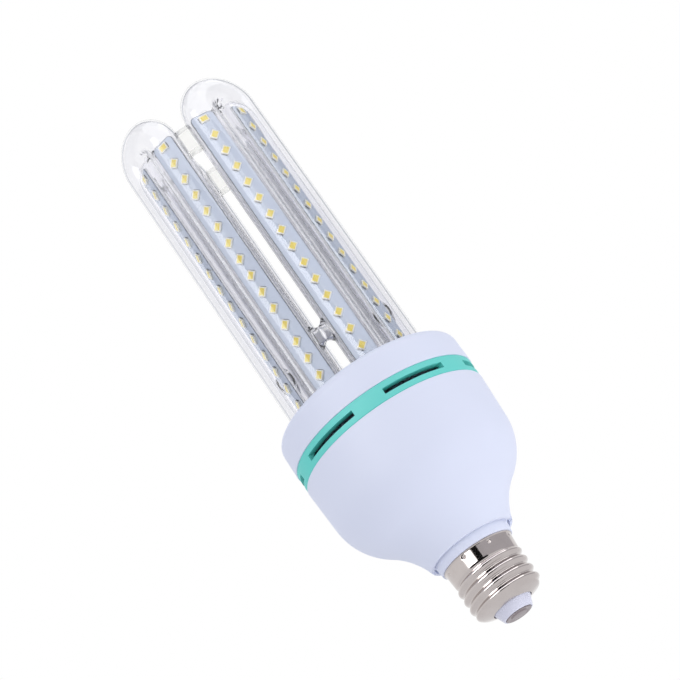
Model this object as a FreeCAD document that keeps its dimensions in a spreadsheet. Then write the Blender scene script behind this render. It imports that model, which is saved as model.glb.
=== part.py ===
import FreeCAD, Part
import math
import os
import re
import Sketcher

# Tubular lamp with four clear U tubes, light strips inside them and a screw cap.
# Millimetres. The origin is the middle of the flat tip contact, and +Z runs up the lamp's axis.
# The view that shows two whole tubes side by side looks along +Y.

TUBE_COUNT = 4
LEG_COUNT = 2 * TUBE_COUNT
LIGHT_COUNT = 15
VENT_COUNT = 6
DENT_COUNT = 8
RIB_COUNT = 4
LEG_STEP = 360 / LEG_COUNT
BRIDGE_ANGLES = (-90, 0, 180)

# Driving dimensions: angles in degrees, everything else in millimetres
SIZES = {
    # screw shell, rolled from thin sheet
    "shell_bottom": 4.48,
    "shell_mouth_radius": 7.56,
    "shell_wall": 0.35,
    "shoulder_slope": 19.4,
    "shoulder_round": 2.2,
    "shoulder_inset": 0.2,
    "shoulder_run": 1.08,
    "thread_crest_radius": 13.1,
    "thread_depth": 0.9,
    "thread_pitch": 3.6,
    "thread_turns": 3.1,
    "thread_rise": 3.07,
    "thread_start_angle": -60,
    "thread_half_width": 1.4,
    "flank_half_width": 1.05,
    "flank_drop": 0.35,
    "crest_half_width": 0.4,
    "groove_half_width": 1.15,
    "groove_crest_half_width": 0.35,
    "thread_runout": 1.69,
    "collar_inset": 0.05,
    "collar_step": 0.9,
    "collar_length": 5.5,
    "lip_flare": 0.75,
    "lip_height": 0.5,
    "dent_radius": 0.75,
    "dent_depth": 0.22,
    "dent_drop": 1.6,
    # tip contact and its insulator
    "contact_radius": 5.1,
    "contact_thickness": 0.8,
    "contact_edge": 0.3,
    "contact_gap": 0.1,
    "stem_fit": 0.35,
    "stem_wall": 0.8,
    "stem_rise": 0.8,
    "insulator_bottom": 0.5,
    "insulator_rim": 0.6,
    "insulator_depth": 2.92,
    "insulator_inset": 2.7,
    "insulator_gap": 0.15,
    # white holder that the shell is crimped on
    "spigot_length": 5.4,
    "spigot_gap": 0.15,
    "spigot_wall": 1.5,
    "holder_reach": 1.25,
    "holder_taper": 0.5,
    "holder_height": 4.5,
    "holder_floor_thickness": 1.5,
    "holder_wall": 2.2,
    "holder_flange_thickness": 1.6,
    "holder_overlap": 1.1,
    "flange_gap": 0.2,
    # lower housing
    "housing_wall": 1.8,
    "housing_draft": 2.86,
    "wall_height": 16.8,
    "flare_height": 32,
    "dome_round": 23.12,
    "neck_clearance": 0.7,
    "neck_gap": 0.2,
    "neck_wall": 1.06,
    "neck_lean": 17.57,
    "ledge_rise": 4.1,
    "notch_width": 3.4,
    "notch_height": 1.3,
    "rib_width": 2,
    "rib_seat": 4.5,
    "rib_drop": 11,
    # vent ring between the housing and the cover
    "ring_height": 6.8,
    "ring_inset": 0.15,
    "ring_wall": 2.4,
    "rim_bevel": 0.25,
    "lip_gap": 0.3,
    "ring_lip_depth": 3,
    "ring_lip_wall": 1.8,
    "vent_width": 26.8,
    "vent_draft": 2.3,
    "vent_height": 2.3,
    "vent_rise": 3.35,
    # top cover with its tube sockets
    "rim_margin": 7.56,
    "cover_outset": 0.11,
    "cover_lean": 0.28,
    "cover_height": 12.46,
    "cover_round": 3.33,
    "cover_wall": 2,
    "cover_deck": 2.2,
    "socket_depth": 9.66,
    "socket_floor": 1.5,
    "socket_ledge": 1,
    "socket_wall": 1.2,
    # clear tubes: their thickness and the gap between two legs set how wide the lamp is
    "tube_radius": 6.5,
    "leg_gap": 4.3,
    "tube_wall": 0.9,
    "tube_gap": 0.25,
    "tube_rise": 129.84,
    "bridge_radius": 3.3,
    "bridge_wall": 0.8,
    "bridge_rise": 19.64,
    "bond_depth": 5.4,
    "bond_length": 9.5,
    "bond_gap": 0.05,
    "seal_height": 3,
    "seal_gap": 0.1,
    # light strips
    "strip_clearance": 0.85,
    "strip_thickness": 1,
    "strip_tail": 3.5,
    "strip_headroom": 14.2,
    "strip_corner": 1.8,
    "light_length": 3.5,
    "light_width": 2.8,
    "light_height": 0.7,
    "light_rim": 0.4,
    "light_recess": 0.1,
    "light_turn": 45,
    "top_light_drop": 2.4,
    "lowest_light_rise": 7.54,
    # driver board and what is soldered to it
    "board_rise": 0.7,
    "board_thickness": 1.6,
    "board_gap": 0.4,
    "capacitor_radius": 6.25,
    "capacitor_height": 20,
    "capacitor_edge": 0.8,
    "capacitor_step": 1.9,
    "core_length": 16,
    "core_width": 12,
    "core_height": 13,
    "core_leg": 3.4,
    "core_step": 4.2,
    "coil_gap": 0.3,
    "film_length": 13,
    "film_width": 6,
    "film_height": 11,
    "film_edge": 0.6,
    "film_step": 1.5,
    "film_clearance": 7.2,
    "choke_radius": 4.5,
    "choke_core_radius": 2.6,
    "choke_height": 11,
    "choke_flange": 1.6,
    "bridge_rectifier_length": 8.5,
    "bridge_rectifier_width": 6.5,
    "bridge_rectifier_height": 2.6,
    "chip_length": 6,
    "chip_width": 4.8,
    "chip_height": 1.6,
    "fuse_radius": 1.8,
    "fuse_length": 9,
    "lead_radius": 0.75,
    "lead_clearance": 1.05,
    "lead_drop": 4.4,
    "lead_seat": 0.3,
    "feed_radius": 0.6,
    # links between neighbouring strips
    "link_width": 2,
    "link_thickness": 0.8,
    "link_drop": 2.2,
    "link_inset": 1.8,
}

# Sizes that follow from the driving dimensions, in the same plain names
WORKED_OUT = {
    # radii of the screw shell
    "thread_root_radius": "thread_crest_radius - thread_depth",
    "collar_radius": "thread_crest_radius - collar_inset",
    "shoulder_radius": "thread_crest_radius - shoulder_inset",
    "lip_radius": "collar_radius + lip_flare",
    "root_inside": "thread_root_radius - shell_wall",
    "collar_inside": "collar_radius - shell_wall",
    # shoulder arc of the shell, tangent to its sloped floor and to its upright side
    "shell_floor_rise": "shell_wall / cos(shoulder_slope)",
    "shoulder_middle_x": "shoulder_radius - shoulder_round",
    "floor_end_x": "shoulder_middle_x + shoulder_round * sin(shoulder_slope)",
    "floor_end_z": "shell_bottom + (floor_end_x - shell_mouth_radius) * tan(shoulder_slope)",
    "shoulder_middle_z": "floor_end_z + shoulder_round * cos(shoulder_slope)",
    "inner_floor_end_x": "shoulder_middle_x + (shoulder_round - shell_wall) * sin(shoulder_slope)",
    "inner_floor_end_z": "shoulder_middle_z - (shoulder_round - shell_wall) * cos(shoulder_slope)",
    # heights of the screw shell: the thread's length sets where the collar begins
    "shoulder_top": "shoulder_middle_z + shoulder_run",
    "thread_start": "shell_bottom + thread_rise",
    "collar_bottom": "thread_start + thread_pitch * thread_turns + thread_runout",
    "shell_top": "collar_bottom + collar_length",
    "dent_height": "shell_top - dent_drop",
    # contact and insulator
    "stem_bore": "lead_radius + stem_fit",
    "stem_radius": "stem_bore + stem_wall",
    "stem_top": "insulator_top + stem_rise",
    "insulator_top": "shell_bottom + insulator_depth",
    "insulator_tip_radius": "contact_radius + insulator_rim",
    "insulator_neck_radius": "shell_mouth_radius - insulator_gap",
    "insulator_flange_radius": "shoulder_radius - insulator_inset",
    # holder, from the shell outwards
    "spigot_bottom": "collar_bottom - spigot_length",
    "spigot_bore": "root_inside - spigot_gap - spigot_wall",
    "holder_low_radius": "collar_radius + holder_reach",
    "holder_high_radius": "holder_low_radius + holder_taper",
    "holder_step": "shell_top + holder_height",
    "holder_floor": "shell_top + holder_floor_thickness",
    "holder_neck_radius": "neck_hole_radius - neck_gap",
    "holder_bore": "holder_neck_radius - holder_wall",
    "holder_flange_radius": "ledge_x - flange_gap",
    # heights of the housing
    "housing_bottom": "holder_step - holder_overlap",
    "ledge_height": "housing_bottom + ledge_rise",
    "dome_height": "housing_bottom + flare_height",
    "housing_top": "dome_height + wall_height",
    # dome and flare of the housing: two tangent arcs from the leaning neck to the drafted wall
    "neck_hole_radius": "holder_high_radius + neck_clearance",
    "neck_radius": "neck_hole_radius + neck_wall",
    "housing_top_radius": "cover_radius - cover_outset",
    "dome_radius": "housing_top_radius - wall_height * tan(housing_draft)",
    "dome_middle_x": "dome_radius - dome_round * cos(housing_draft)",
    "dome_middle_z": "dome_height + dome_round * sin(housing_draft)",
    "neck_from_dome_x": "neck_radius - dome_middle_x",
    "neck_from_dome_z": "housing_bottom - dome_middle_z",
    "neck_distance": "neck_from_dome_x * cos(neck_lean) - neck_from_dome_z * sin(neck_lean)",
    "flare_round": "(neck_from_dome_x ^ 2 + neck_from_dome_z ^ 2 - dome_round ^ 2)"
                   " / (2 * (dome_round - neck_distance))",
    "flare_middle_x": "neck_radius + flare_round * cos(neck_lean)",
    "flare_middle_z": "housing_bottom - flare_round * sin(neck_lean)",
    "middles_apart": "dome_round + flare_round",
    "turn_x": "dome_middle_x + (flare_middle_x - dome_middle_x) * dome_round / middles_apart",
    "turn_z": "dome_middle_z + (flare_middle_z - dome_middle_z) * dome_round / middles_apart",
    "inner_flare_round": "flare_round + housing_wall",
    "inner_dome_round": "dome_round - housing_wall",
    "inner_turn_x": "turn_x - (flare_middle_x - dome_middle_x) * housing_wall / middles_apart",
    "inner_turn_z": "turn_z - (flare_middle_z - dome_middle_z) * housing_wall / middles_apart",
    "ledge_x": "flare_middle_x - sqrt(inner_flare_round ^ 2 - (ledge_height - flare_middle_z) ^ 2)",
    "inner_dome_x": "dome_radius - housing_wall * cos(housing_draft)",
    "inner_dome_z": "dome_height + housing_wall * sin(housing_draft)",
    "housing_mouth_radius": "inner_dome_x + (housing_top - inner_dome_z) * tan(housing_draft)",
    # board, and its ribs, which end inside the wall
    "board_height": "dome_height + board_rise",
    "board_top": "board_height + board_thickness",
    "board_radius": "dome_middle_x + sqrt(inner_dome_round ^ 2 - (board_height - dome_middle_z) ^ 2)"
                    " - board_gap",
    "rib_reach": "board_radius - rib_seat",
    "rib_bottom": "board_height - rib_drop",
    "middle_dome_round": "dome_round - housing_wall / 2",
    "rib_top_x": "board_height > dome_height ? dome_radius - housing_wall / 2 : rib_top_in_dome",
    "rib_top_in_dome": "dome_middle_x + sqrt(middle_dome_round ^ 2 - (board_height - dome_middle_z) ^ 2)",
    "rib_foot_x": "dome_middle_x + sqrt(middle_dome_round ^ 2 - (rib_bottom - dome_middle_z) ^ 2)",
    # ring and its lips
    "ring_radius": "housing_top_radius - ring_inset",
    "ring_bore": "ring_radius - ring_wall",
    "ring_top": "housing_top + ring_height",
    "lower_lip_radius": "housing_mouth_radius - lip_gap - ring_lip_depth * tan(housing_draft)",
    "upper_lip_radius": "cover_inside - lip_gap",
    # a vent slot ends where its corners are clear of the ring's bore
    "vent_middle": "housing_top + vent_rise",
    "vent_mouth_distance": "ring_radius + rim_bevel",
    "vent_throat_distance": "sqrt(ring_bore ^ 2 - (vent_width / 2) ^ 2) - rim_bevel",
    # cover
    "cover_radius": "leg_circle + tube_radius + rim_margin",
    "cover_top_radius": "cover_radius - cover_lean",
    "cover_inside": "cover_radius - cover_wall",
    "cover_top": "ring_top + cover_height",
    "ceiling": "cover_top - cover_deck",
    "inner_corner": "cover_round - cover_wall / 2",
    "socket_radius": "tube_radius + tube_gap",
    "socket_hole_radius": "tube_radius - socket_ledge",
    "socket_bottom": "tube_bottom - socket_floor",
    # tubes
    "half_step": "180 / %d" % LEG_COUNT,
    "leg_circle": "(tube_radius + leg_gap / 2) / sin(half_step)",
    "tube_bottom": "cover_top - socket_depth",
    "tube_top": "cover_top + tube_rise",
    "bend_radius": "leg_circle * sin(half_step)",
    "tube_plane": "leg_circle * cos(half_step)",
    "bend_height": "tube_top - tube_radius - bend_radius",
    "tube_bore": "tube_radius - tube_wall",
    "bridge_height": "cover_top + bridge_rise",
    # a bond fills the gap between two legs and follows their walls
    "bond_bottom": "bend_height - bond_length",
    "bond_round": "tube_radius + bond_gap",
    "bond_half_width": "bend_radius - sqrt(bond_round ^ 2 - (bond_depth / 2) ^ 2)",
    # strips and the lights on them
    "strip_width": "2 * (tube_bore - strip_clearance)",
    "strip_bottom": "tube_bottom - strip_tail",
    "strip_top": "tube_top - strip_headroom",
    "strip_face": "leg_circle + strip_thickness / 2",
    "top_light_height": "strip_top - top_light_drop",
    "lowest_light": "cover_top + lowest_light_rise",
    "light_pitch": "(top_light_height - lowest_light) / %d" % (LIGHT_COUNT - 1),
    "light_run": "light_pitch * %d" % (LIGHT_COUNT - 2),
    # leads
    "lead_offset": "spigot_bore - lead_clearance - lead_radius",
    "lead_end": "spigot_bottom - lead_drop",
    "lead_bend": "root_inside - lead_seat - lead_offset",
}

SMALL = 1e-6
NAME = re.compile(r"[a-z][a-z_]+")

doc = FreeCAD.newDocument("TubeLamp")
sheet = doc.addObject("Spreadsheet::Sheet", "Sizes")
for row, (alias, value) in enumerate(SIZES.items(), start=1):
    sheet.set("A%d" % row, alias.replace("_", " "))
    sheet.set("B%d" % row, str(value))
    sheet.setAlias("B%d" % row, alias)
doc.recompute()


def formula(text):
    """The expression for a size written in plain names: each name becomes its cell or its own formula."""

    def swap(match):
        name = match.group(0)
        if name in SIZES:
            return "Sizes." + name
        if name in WORKED_OUT:
            return "(" + formula(WORKED_OUT[name]) + ")"
        return name

    return NAME.sub(swap, str(text))


def number(text):
    """The value that a formula has now."""
    return float(sheet.evalExpression(formula(text)))


def bind(item, name, text):
    """Tie one property to a formula."""
    item.setExpression(name, formula(text))


def origin_feature(body, role):
    """An origin plane or axis of a body, found by its role."""
    return [feature for feature in body.Origin.OriginFeatures if feature.Role == role][0]


def new_body(label):
    """An empty body for one sub-part."""
    body = doc.addObject("PartDesign::Body", label)
    body.Label = label
    return body


def new_sketch(body, name, plane="XZ_Plane", lift="0", turn="0"):
    """A sketch on an origin plane, lifted along the plane's normal and turned about the lamp's axis.

    A sketch on XZ_Plane has its x outwards and its y up the lamp, and its normal along -Y.
    """
    sketch = body.newObject("Sketcher::SketchObject", name)
    sketch.AttachmentSupport = [(origin_feature(body, plane), "")]
    sketch.MapMode = "FlatFace"
    turning_axis = FreeCAD.Vector(0, 1, 0) if plane == "XZ_Plane" else FreeCAD.Vector(0, 0, 1)
    sketch.AttachmentOffset = FreeCAD.Placement(FreeCAD.Vector(), FreeCAD.Rotation(turning_axis, number(turn)))
    if plane == "XZ_Plane" and lift != "0" and turn != "0":
        bind(sketch, "AttachmentOffset.Base.x", "(%s) * sin(%s)" % (lift, turn))
        bind(sketch, "AttachmentOffset.Base.z", "(%s) * cos(%s)" % (lift, turn))
    elif lift != "0":
        bind(sketch, "AttachmentOffset.Base.z", lift)
    if turn != "0":
        bind(sketch, "AttachmentOffset.Rotation.Angle", turn)
    return sketch


def tie(sketch, kind, where, text):
    """One bound sketch dimension. A coordinate of 0 lies on the sketch's own axis instead."""
    if text == "0":
        axis = -2 if kind == "DistanceX" else -1
        sketch.addConstraint(Sketcher.Constraint("PointOnObject", where[0], where[1], axis))
        return
    if kind == "Radius":
        index = sketch.addConstraint(Sketcher.Constraint(kind, where[0], number(text)))
    else:
        index = sketch.addConstraint(Sketcher.Constraint(kind, -1, 1, where[0], where[1], number(text)))
    bind(sketch, "Constraints[%d]" % index, text)


def arc_between(start, end, radius):
    """The short arc from start to end. Its middle is on the left of the way for a radius above 0."""
    chord = end - start
    half = chord.Length / 2
    height = math.sqrt(max(radius * radius - half * half, 0))
    left = FreeCAD.Vector(-chord.y, chord.x, 0).normalize()
    middle = (start + end) * 0.5 + left * (height if radius > 0 else -height)
    first, last = (start, end) if radius > 0 else (end, start)
    angles = [math.atan2(point.y - middle.y, point.x - middle.x) for point in (first, last)]
    if angles[1] < angles[0]:
        angles[1] += 2 * math.pi
    circle = Part.Circle(middle, FreeCAD.Vector(0, 0, 1), abs(radius))
    return Part.ArcOfCircle(circle, angles[0], angles[1])


def draw_outline(sketch, corners, closed=True):
    """A chain of edges through the corners, each edge fixed by its ends.

    A corner is (x, y) in plain-name formulas. A third entry makes the edge that leaves it an arc of
    that radius: counter-clockwise, or clockwise where it starts with a minus.
    """
    points = [FreeCAD.Vector(number(corner[0]), number(corner[1]), 0) for corner in corners]
    count = len(corners) if closed else len(corners) - 1
    first = sketch.GeometryCount
    ends = []
    for index in range(count):
        start = points[index]
        end = points[(index + 1) % len(points)]
        if len(corners[index]) == 3:
            radius = number(corners[index][2])
            edge = sketch.addGeometry(arc_between(start, end, radius))
            ends.append((edge, 1, 2) if radius > 0 else (edge, 2, 1))
        else:
            edge = sketch.addGeometry(Part.LineSegment(start, end))
            ends.append((edge, 1, 2))
    for index, (edge, start, end) in enumerate(ends):
        if closed or index < count - 1:
            after = ends[(index + 1) % count]
            sketch.addConstraint(Sketcher.Constraint("Coincident", edge, end, after[0], after[1]))
        tie(sketch, "DistanceX", (edge, start), corners[index][0])
        tie(sketch, "DistanceY", (edge, start), corners[index][1])
        if len(corners[index]) == 3:
            tie(sketch, "Radius", (edge, 0), corners[index][2].lstrip("-"))
    if not closed:
        edge, start, end = ends[-1]
        tie(sketch, "DistanceX", (edge, end), corners[-1][0])
        tie(sketch, "DistanceY", (edge, end), corners[-1][1])
    return first


def draw_circle(sketch, x, y, radius):
    """A circle fixed by its middle and radius."""
    middle = FreeCAD.Vector(number(x), number(y), 0)
    edge = sketch.addGeometry(Part.Circle(middle, FreeCAD.Vector(0, 0, 1), number(radius)))
    if x == "0" and y == "0":
        sketch.addConstraint(Sketcher.Constraint("Coincident", edge, 3, -1, 1))
    else:
        tie(sketch, "DistanceX", (edge, 3), x)
        tie(sketch, "DistanceY", (edge, 3), y)
    tie(sketch, "Radius", (edge, 0), radius)


def revolve(body, name, corners, kind="PartDesign::Revolution"):
    """A full turn of an outline drawn in the XZ plane about the lamp's axis."""
    sketch = new_sketch(body, name + "_outline")
    draw_outline(sketch, corners)
    feature = body.newObject(kind, name)
    feature.Profile = sketch
    feature.ReferenceAxis = (sketch, ["V_Axis"])
    feature.Angle = 360
    return feature


def pad(body, name, sketch, length, both_ways=False, backwards=False):
    """A sketch pushed out along its normal."""
    feature = body.newObject("PartDesign::Pad", name)
    feature.Profile = sketch
    bind(feature, "Length", length)
    feature.SideType = "Symmetric" if both_ways else "One side"
    feature.Reversed = backwards
    return feature


def pocket(body, name, sketch, length, both_ways=False, backwards=False):
    """A sketch cut into the body against its normal, which has to take something away."""
    doc.recompute()
    before = body.Tip.Shape.Volume
    feature = body.newObject("PartDesign::Pocket", name)
    feature.Profile = sketch
    bind(feature, "Length", length)
    feature.SideType = "Symmetric" if both_ways else "One side"
    feature.Reversed = backwards
    doc.recompute()
    if feature.Shape.Volume > before - SMALL:
        raise RuntimeError(name + " cuts nothing")
    return feature


def around(body, name, originals, count):
    """Copies of features evenly round the lamp's axis."""
    feature = body.newObject("PartDesign::PolarPattern", name)
    feature.Originals = originals
    feature.Axis = (origin_feature(body, "Z_Axis"), [""])
    feature.Angle = 360
    feature.Occurrences = count
    body.Tip = feature
    return feature


def turn_about_axis(item, angle):
    """Turn a finished sub-part about the lamp's axis."""
    item.Placement = FreeCAD.Placement(FreeCAD.Vector(), FreeCAD.Rotation(FreeCAD.Vector(0, 0, 1), angle))


def make_centre_contact():
    """Flat disc riveted through the insulator by a hollow stem, which takes the live wire."""
    body = new_body("centre_contact")
    revolve(body, "contact_disc", [
        ("0", "0"),
        ("contact_radius - contact_edge", "0", "contact_edge"),
        ("contact_radius", "contact_edge"),
        ("contact_radius", "contact_thickness"),
        ("stem_radius", "contact_thickness"),
        ("stem_radius", "stem_top"),
        ("stem_bore", "stem_top"),
        ("stem_bore", "contact_thickness"),
        ("0", "contact_thickness"),
    ])
    return body


def shell_floor(radius):
    """Height of the shell's inner floor at a radius, plus the insulator's clearance."""
    rise = "(%s - shell_mouth_radius) * tan(shoulder_slope)" % radius
    return "shell_bottom + shell_floor_rise + insulator_gap + " + rise


def make_tip_insulator():
    """White cone that stands out of the shell's mouth, with a flange that fills the shell's floor."""
    body = new_body("tip_insulator")
    stem_hole = "stem_radius + contact_gap"
    recess = "contact_radius + contact_gap"
    revolve(body, "insulator_cone", [
        (stem_hole, "contact_thickness"),
        (recess, "contact_thickness"),
        (recess, "insulator_bottom"),
        ("insulator_tip_radius", "insulator_bottom"),
        ("insulator_neck_radius", "shell_bottom"),
        ("insulator_neck_radius", shell_floor("insulator_neck_radius")),
        ("insulator_flange_radius", shell_floor("insulator_flange_radius")),
        ("insulator_flange_radius", "insulator_top"),
        (stem_hole, "insulator_top"),
    ])
    return body


def thread(body, name, kind, steps):
    """A thread section wound up the shell.

    The section is even above and below its middle. Each step is a radius and the half width there.
    """
    doc.recompute()
    sketch = new_sketch(body, name + "_outline", turn="thread_start_angle")
    lower = [(radius, "thread_start - " + half_width) for radius, half_width in steps]
    upper = [(radius, "thread_start + " + half_width) for radius, half_width in reversed(steps)]
    draw_outline(sketch, lower + upper)
    feature = body.newObject(kind, name)
    feature.Profile = sketch
    feature.ReferenceAxis = (sketch, ["V_Axis"])
    feature.Mode = "pitch-turns-angle"
    bind(feature, "Pitch", "thread_pitch")
    bind(feature, "Turns", "thread_turns")
    return feature


def make_screw_shell():
    """Thin shell with a bowl floor, a rolled right-hand thread, a plain collar and punched dents."""
    body = new_body("screw_shell")
    revolve(body, "shell_wall_tube", [
        ("shell_mouth_radius", "shell_bottom"),
        ("floor_end_x", "floor_end_z", "shoulder_round"),
        ("shoulder_radius", "shoulder_middle_z"),
        ("thread_root_radius", "shoulder_top"),
        ("thread_root_radius", "collar_bottom - collar_step"),
        ("collar_radius", "collar_bottom"),
        ("collar_radius", "shell_top - lip_height"),
        ("lip_radius", "shell_top"),
        ("lip_radius - shell_wall", "shell_top"),
        ("collar_inside", "shell_top - lip_height + shell_wall / 4"),
        ("collar_inside", "collar_bottom + shell_wall / 4"),
        ("root_inside", "collar_bottom - collar_step + shell_wall / 4"),
        ("root_inside", "shoulder_top - shell_wall / 4"),
        ("shoulder_radius - shell_wall", "shoulder_middle_z", "-(shoulder_round - shell_wall)"),
        ("inner_floor_end_x", "inner_floor_end_z"),
        ("shell_mouth_radius", "shell_bottom + shell_floor_rise"),
    ])
    thread(body, "thread_crest", "PartDesign::AdditiveHelix", [
        ("thread_root_radius - shell_wall / 3", "thread_half_width"),
        ("thread_crest_radius - flank_drop", "flank_half_width"),
        ("thread_crest_radius", "crest_half_width"),
    ])
    thread(body, "thread_groove", "PartDesign::SubtractiveHelix", [
        ("root_inside - shell_wall / 3", "groove_half_width"),
        ("thread_crest_radius - shell_wall", "groove_crest_half_width"),
    ])
    doc.recompute()
    dent = body.newObject("PartDesign::SubtractiveSphere", "crimp_dent")
    dent.AttachmentSupport = [(origin_feature(body, "XY_Plane"), "")]
    dent.MapMode = "FlatFace"
    bind(dent, "Radius", "dent_radius")
    middle = "collar_radius + dent_radius - dent_depth"
    bind(dent, "AttachmentOffset.Base.x", "(%s) * cos(half_step)" % middle)
    bind(dent, "AttachmentOffset.Base.y", "(%s) * sin(half_step)" % middle)
    bind(dent, "AttachmentOffset.Base.z", "dent_height")
    doc.recompute()
    around(body, "crimp_dents", [dent], DENT_COUNT)
    return body


def make_cap_holder():
    """White plastic sleeve: a spigot inside the shell, a collar that shows and a flange in the neck."""
    body = new_body("cap_holder")
    low = "root_inside - spigot_gap"
    high = "collar_inside - spigot_gap"
    revolve(body, "holder_sleeve", [
        ("spigot_bore", "spigot_bottom"),
        (low, "spigot_bottom"),
        (low, "collar_bottom + spigot_gap"),
        (high, "collar_bottom + spigot_gap + collar_step"),
        (high, "shell_top"),
        ("holder_low_radius", "shell_top"),
        ("holder_high_radius", "holder_step"),
        ("holder_neck_radius", "holder_step"),
        ("holder_neck_radius", "ledge_height"),
        ("holder_flange_radius", "ledge_height"),
        ("holder_flange_radius", "ledge_height + holder_flange_thickness"),
        ("holder_bore", "ledge_height + holder_flange_thickness"),
        ("holder_bore", "holder_floor"),
        ("spigot_bore", "holder_floor"),
    ])
    return body


def make_lower_housing():
    """Moulded shell: a neck that flares into a dome and a drafted wall, with ribs for the board."""
    body = new_body("lower_housing")
    revolve(body, "housing_shell", [
        ("neck_hole_radius", "housing_bottom"),
        ("neck_radius", "housing_bottom", "-flare_round"),
        ("turn_x", "turn_z", "dome_round"),
        ("dome_radius", "dome_height"),
        ("housing_top_radius - rim_bevel * tan(housing_draft)", "housing_top - rim_bevel"),
        ("housing_top_radius - rim_bevel", "housing_top"),
        ("housing_mouth_radius", "housing_top"),
        ("inner_dome_x", "inner_dome_z", "-inner_dome_round"),
        ("inner_turn_x", "inner_turn_z", "inner_flare_round"),
        ("ledge_x", "ledge_height"),
        ("neck_hole_radius", "ledge_height"),
    ])
    notch = new_sketch(body, "snap_notch_outline", "YZ_Plane")
    draw_outline(notch, [
        ("-notch_width / 2", "housing_bottom - notch_height"),
        ("notch_width / 2", "housing_bottom - notch_height"),
        ("notch_width / 2", "housing_bottom + notch_height"),
        ("-notch_width / 2", "housing_bottom + notch_height"),
    ])
    pocket(body, "snap_notches", notch, "housing_top_radius * 2", both_ways=True)
    rib = new_sketch(body, "board_rib_outline")
    draw_outline(rib, [
        ("rib_reach", "board_height"),
        ("rib_reach", "board_height - rib_width"),
        ("rib_foot_x", "rib_bottom"),
        ("rib_top_x", "board_height"),
    ])
    rib_pad = pad(body, "board_rib", rib, "rib_width", both_ways=True)
    doc.recompute()
    around(body, "board_ribs", [rib_pad], RIB_COUNT)
    return body


def make_vent_ring():
    """Coloured ring with a lip into each neighbour and slots with drafted ends that let heat out."""
    body = new_body("vent_ring")
    lip_inside = "upper_lip_radius - ring_lip_wall"
    revolve(body, "ring_band", [
        ("lower_lip_radius - ring_lip_wall", "housing_top - ring_lip_depth"),
        ("lower_lip_radius", "housing_top - ring_lip_depth"),
        ("lower_lip_radius", "housing_top"),
        ("ring_radius - rim_bevel", "housing_top"),
        ("ring_radius", "housing_top + rim_bevel"),
        ("ring_radius", "ring_top - rim_bevel"),
        ("ring_radius - rim_bevel", "ring_top"),
        ("upper_lip_radius", "ring_top"),
        ("upper_lip_radius", "ring_top + ring_lip_depth"),
        (lip_inside, "ring_top + ring_lip_depth"),
        (lip_inside, "ring_top - ring_lip_wall"),
        ("ring_bore", "ring_top - ring_lip_wall * 1.5"),
        ("ring_bore", "housing_top + ring_lip_wall"),
        ("lower_lip_radius - ring_lip_wall", "housing_top"),
    ])
    outer = vent_window(body, "vent_mouth", "vent_mouth_distance", "vent_width / 2")
    inner = vent_window(body, "vent_throat", "vent_throat_distance", "vent_width / 2 - vent_draft")
    slot = body.newObject("PartDesign::SubtractiveLoft", "vent_slot")
    slot.Profile = outer
    slot.Sections = [inner]
    doc.recompute()
    around(body, "vent_slots", [slot], VENT_COUNT)
    return body


def vent_window(body, name, distance, half_width):
    """Upright window of a vent slot, at a distance from the lamp's axis."""
    sketch = new_sketch(body, name, lift=distance, turn="180 / %d" % VENT_COUNT)
    draw_outline(sketch, [
        ("-(%s)" % half_width, "vent_middle - vent_height / 2"),
        (half_width, "vent_middle - vent_height / 2"),
        (half_width, "vent_middle + vent_height / 2"),
        ("-(%s)" % half_width, "vent_middle + vent_height / 2"),
    ])
    return sketch


def make_top_cover():
    """Moulded cap with a rounded shoulder and eight sockets that hold the tube legs."""
    body = new_body("top_cover")
    revolve(body, "cover_cap", [
        ("cover_radius - rim_bevel", "ring_top"),
        ("cover_radius", "ring_top + rim_bevel"),
        ("cover_top_radius", "cover_top - cover_round", "cover_round"),
        ("cover_top_radius - cover_round", "cover_top"),
        ("0", "cover_top"),
        ("0", "ceiling"),
        ("cover_inside - cover_lean - inner_corner", "ceiling"),
        ("cover_inside - cover_lean", "ceiling - inner_corner"),
        ("cover_inside", "ring_top"),
    ])
    doc.recompute()
    leg_x = "leg_circle * cos(half_step)"
    leg_y = "leg_circle * sin(half_step)"
    sleeve = new_sketch(body, "socket_sleeve_outline", "XY_Plane", lift="socket_bottom")
    draw_circle(sleeve, leg_x, leg_y, "socket_radius + socket_wall")
    sleeve_pad = pad(body, "socket_sleeve", sleeve, "ceiling + cover_deck / 2 - socket_bottom")
    bore = new_sketch(body, "socket_bore_outline", "XY_Plane", lift="cover_top")
    draw_circle(bore, leg_x, leg_y, "socket_radius")
    bore_cut = pocket(body, "socket_bore", bore, "cover_top - tube_bottom")
    hole = new_sketch(body, "socket_hole_outline", "XY_Plane", lift="cover_top")
    draw_circle(hole, leg_x, leg_y, "socket_hole_radius")
    hole_cut = pocket(body, "socket_hole", hole, "cover_top - socket_bottom")
    around(body, "sockets", [sleeve_pad, bore_cut, hole_cut], LEG_COUNT)
    return body


def place(item, x, y, z, tilt=None):
    """Bind where a primitive stands. A tilt is an axis and an angle about it."""
    if tilt:
        turned = FreeCAD.Rotation(FreeCAD.Vector(*tilt[0]), tilt[1])
        item.Placement = FreeCAD.Placement(FreeCAD.Vector(), turned)
    bind(item, "Placement.Base.x", x)
    bind(item, "Placement.Base.y", y)
    bind(item, "Placement.Base.z", z)


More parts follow.
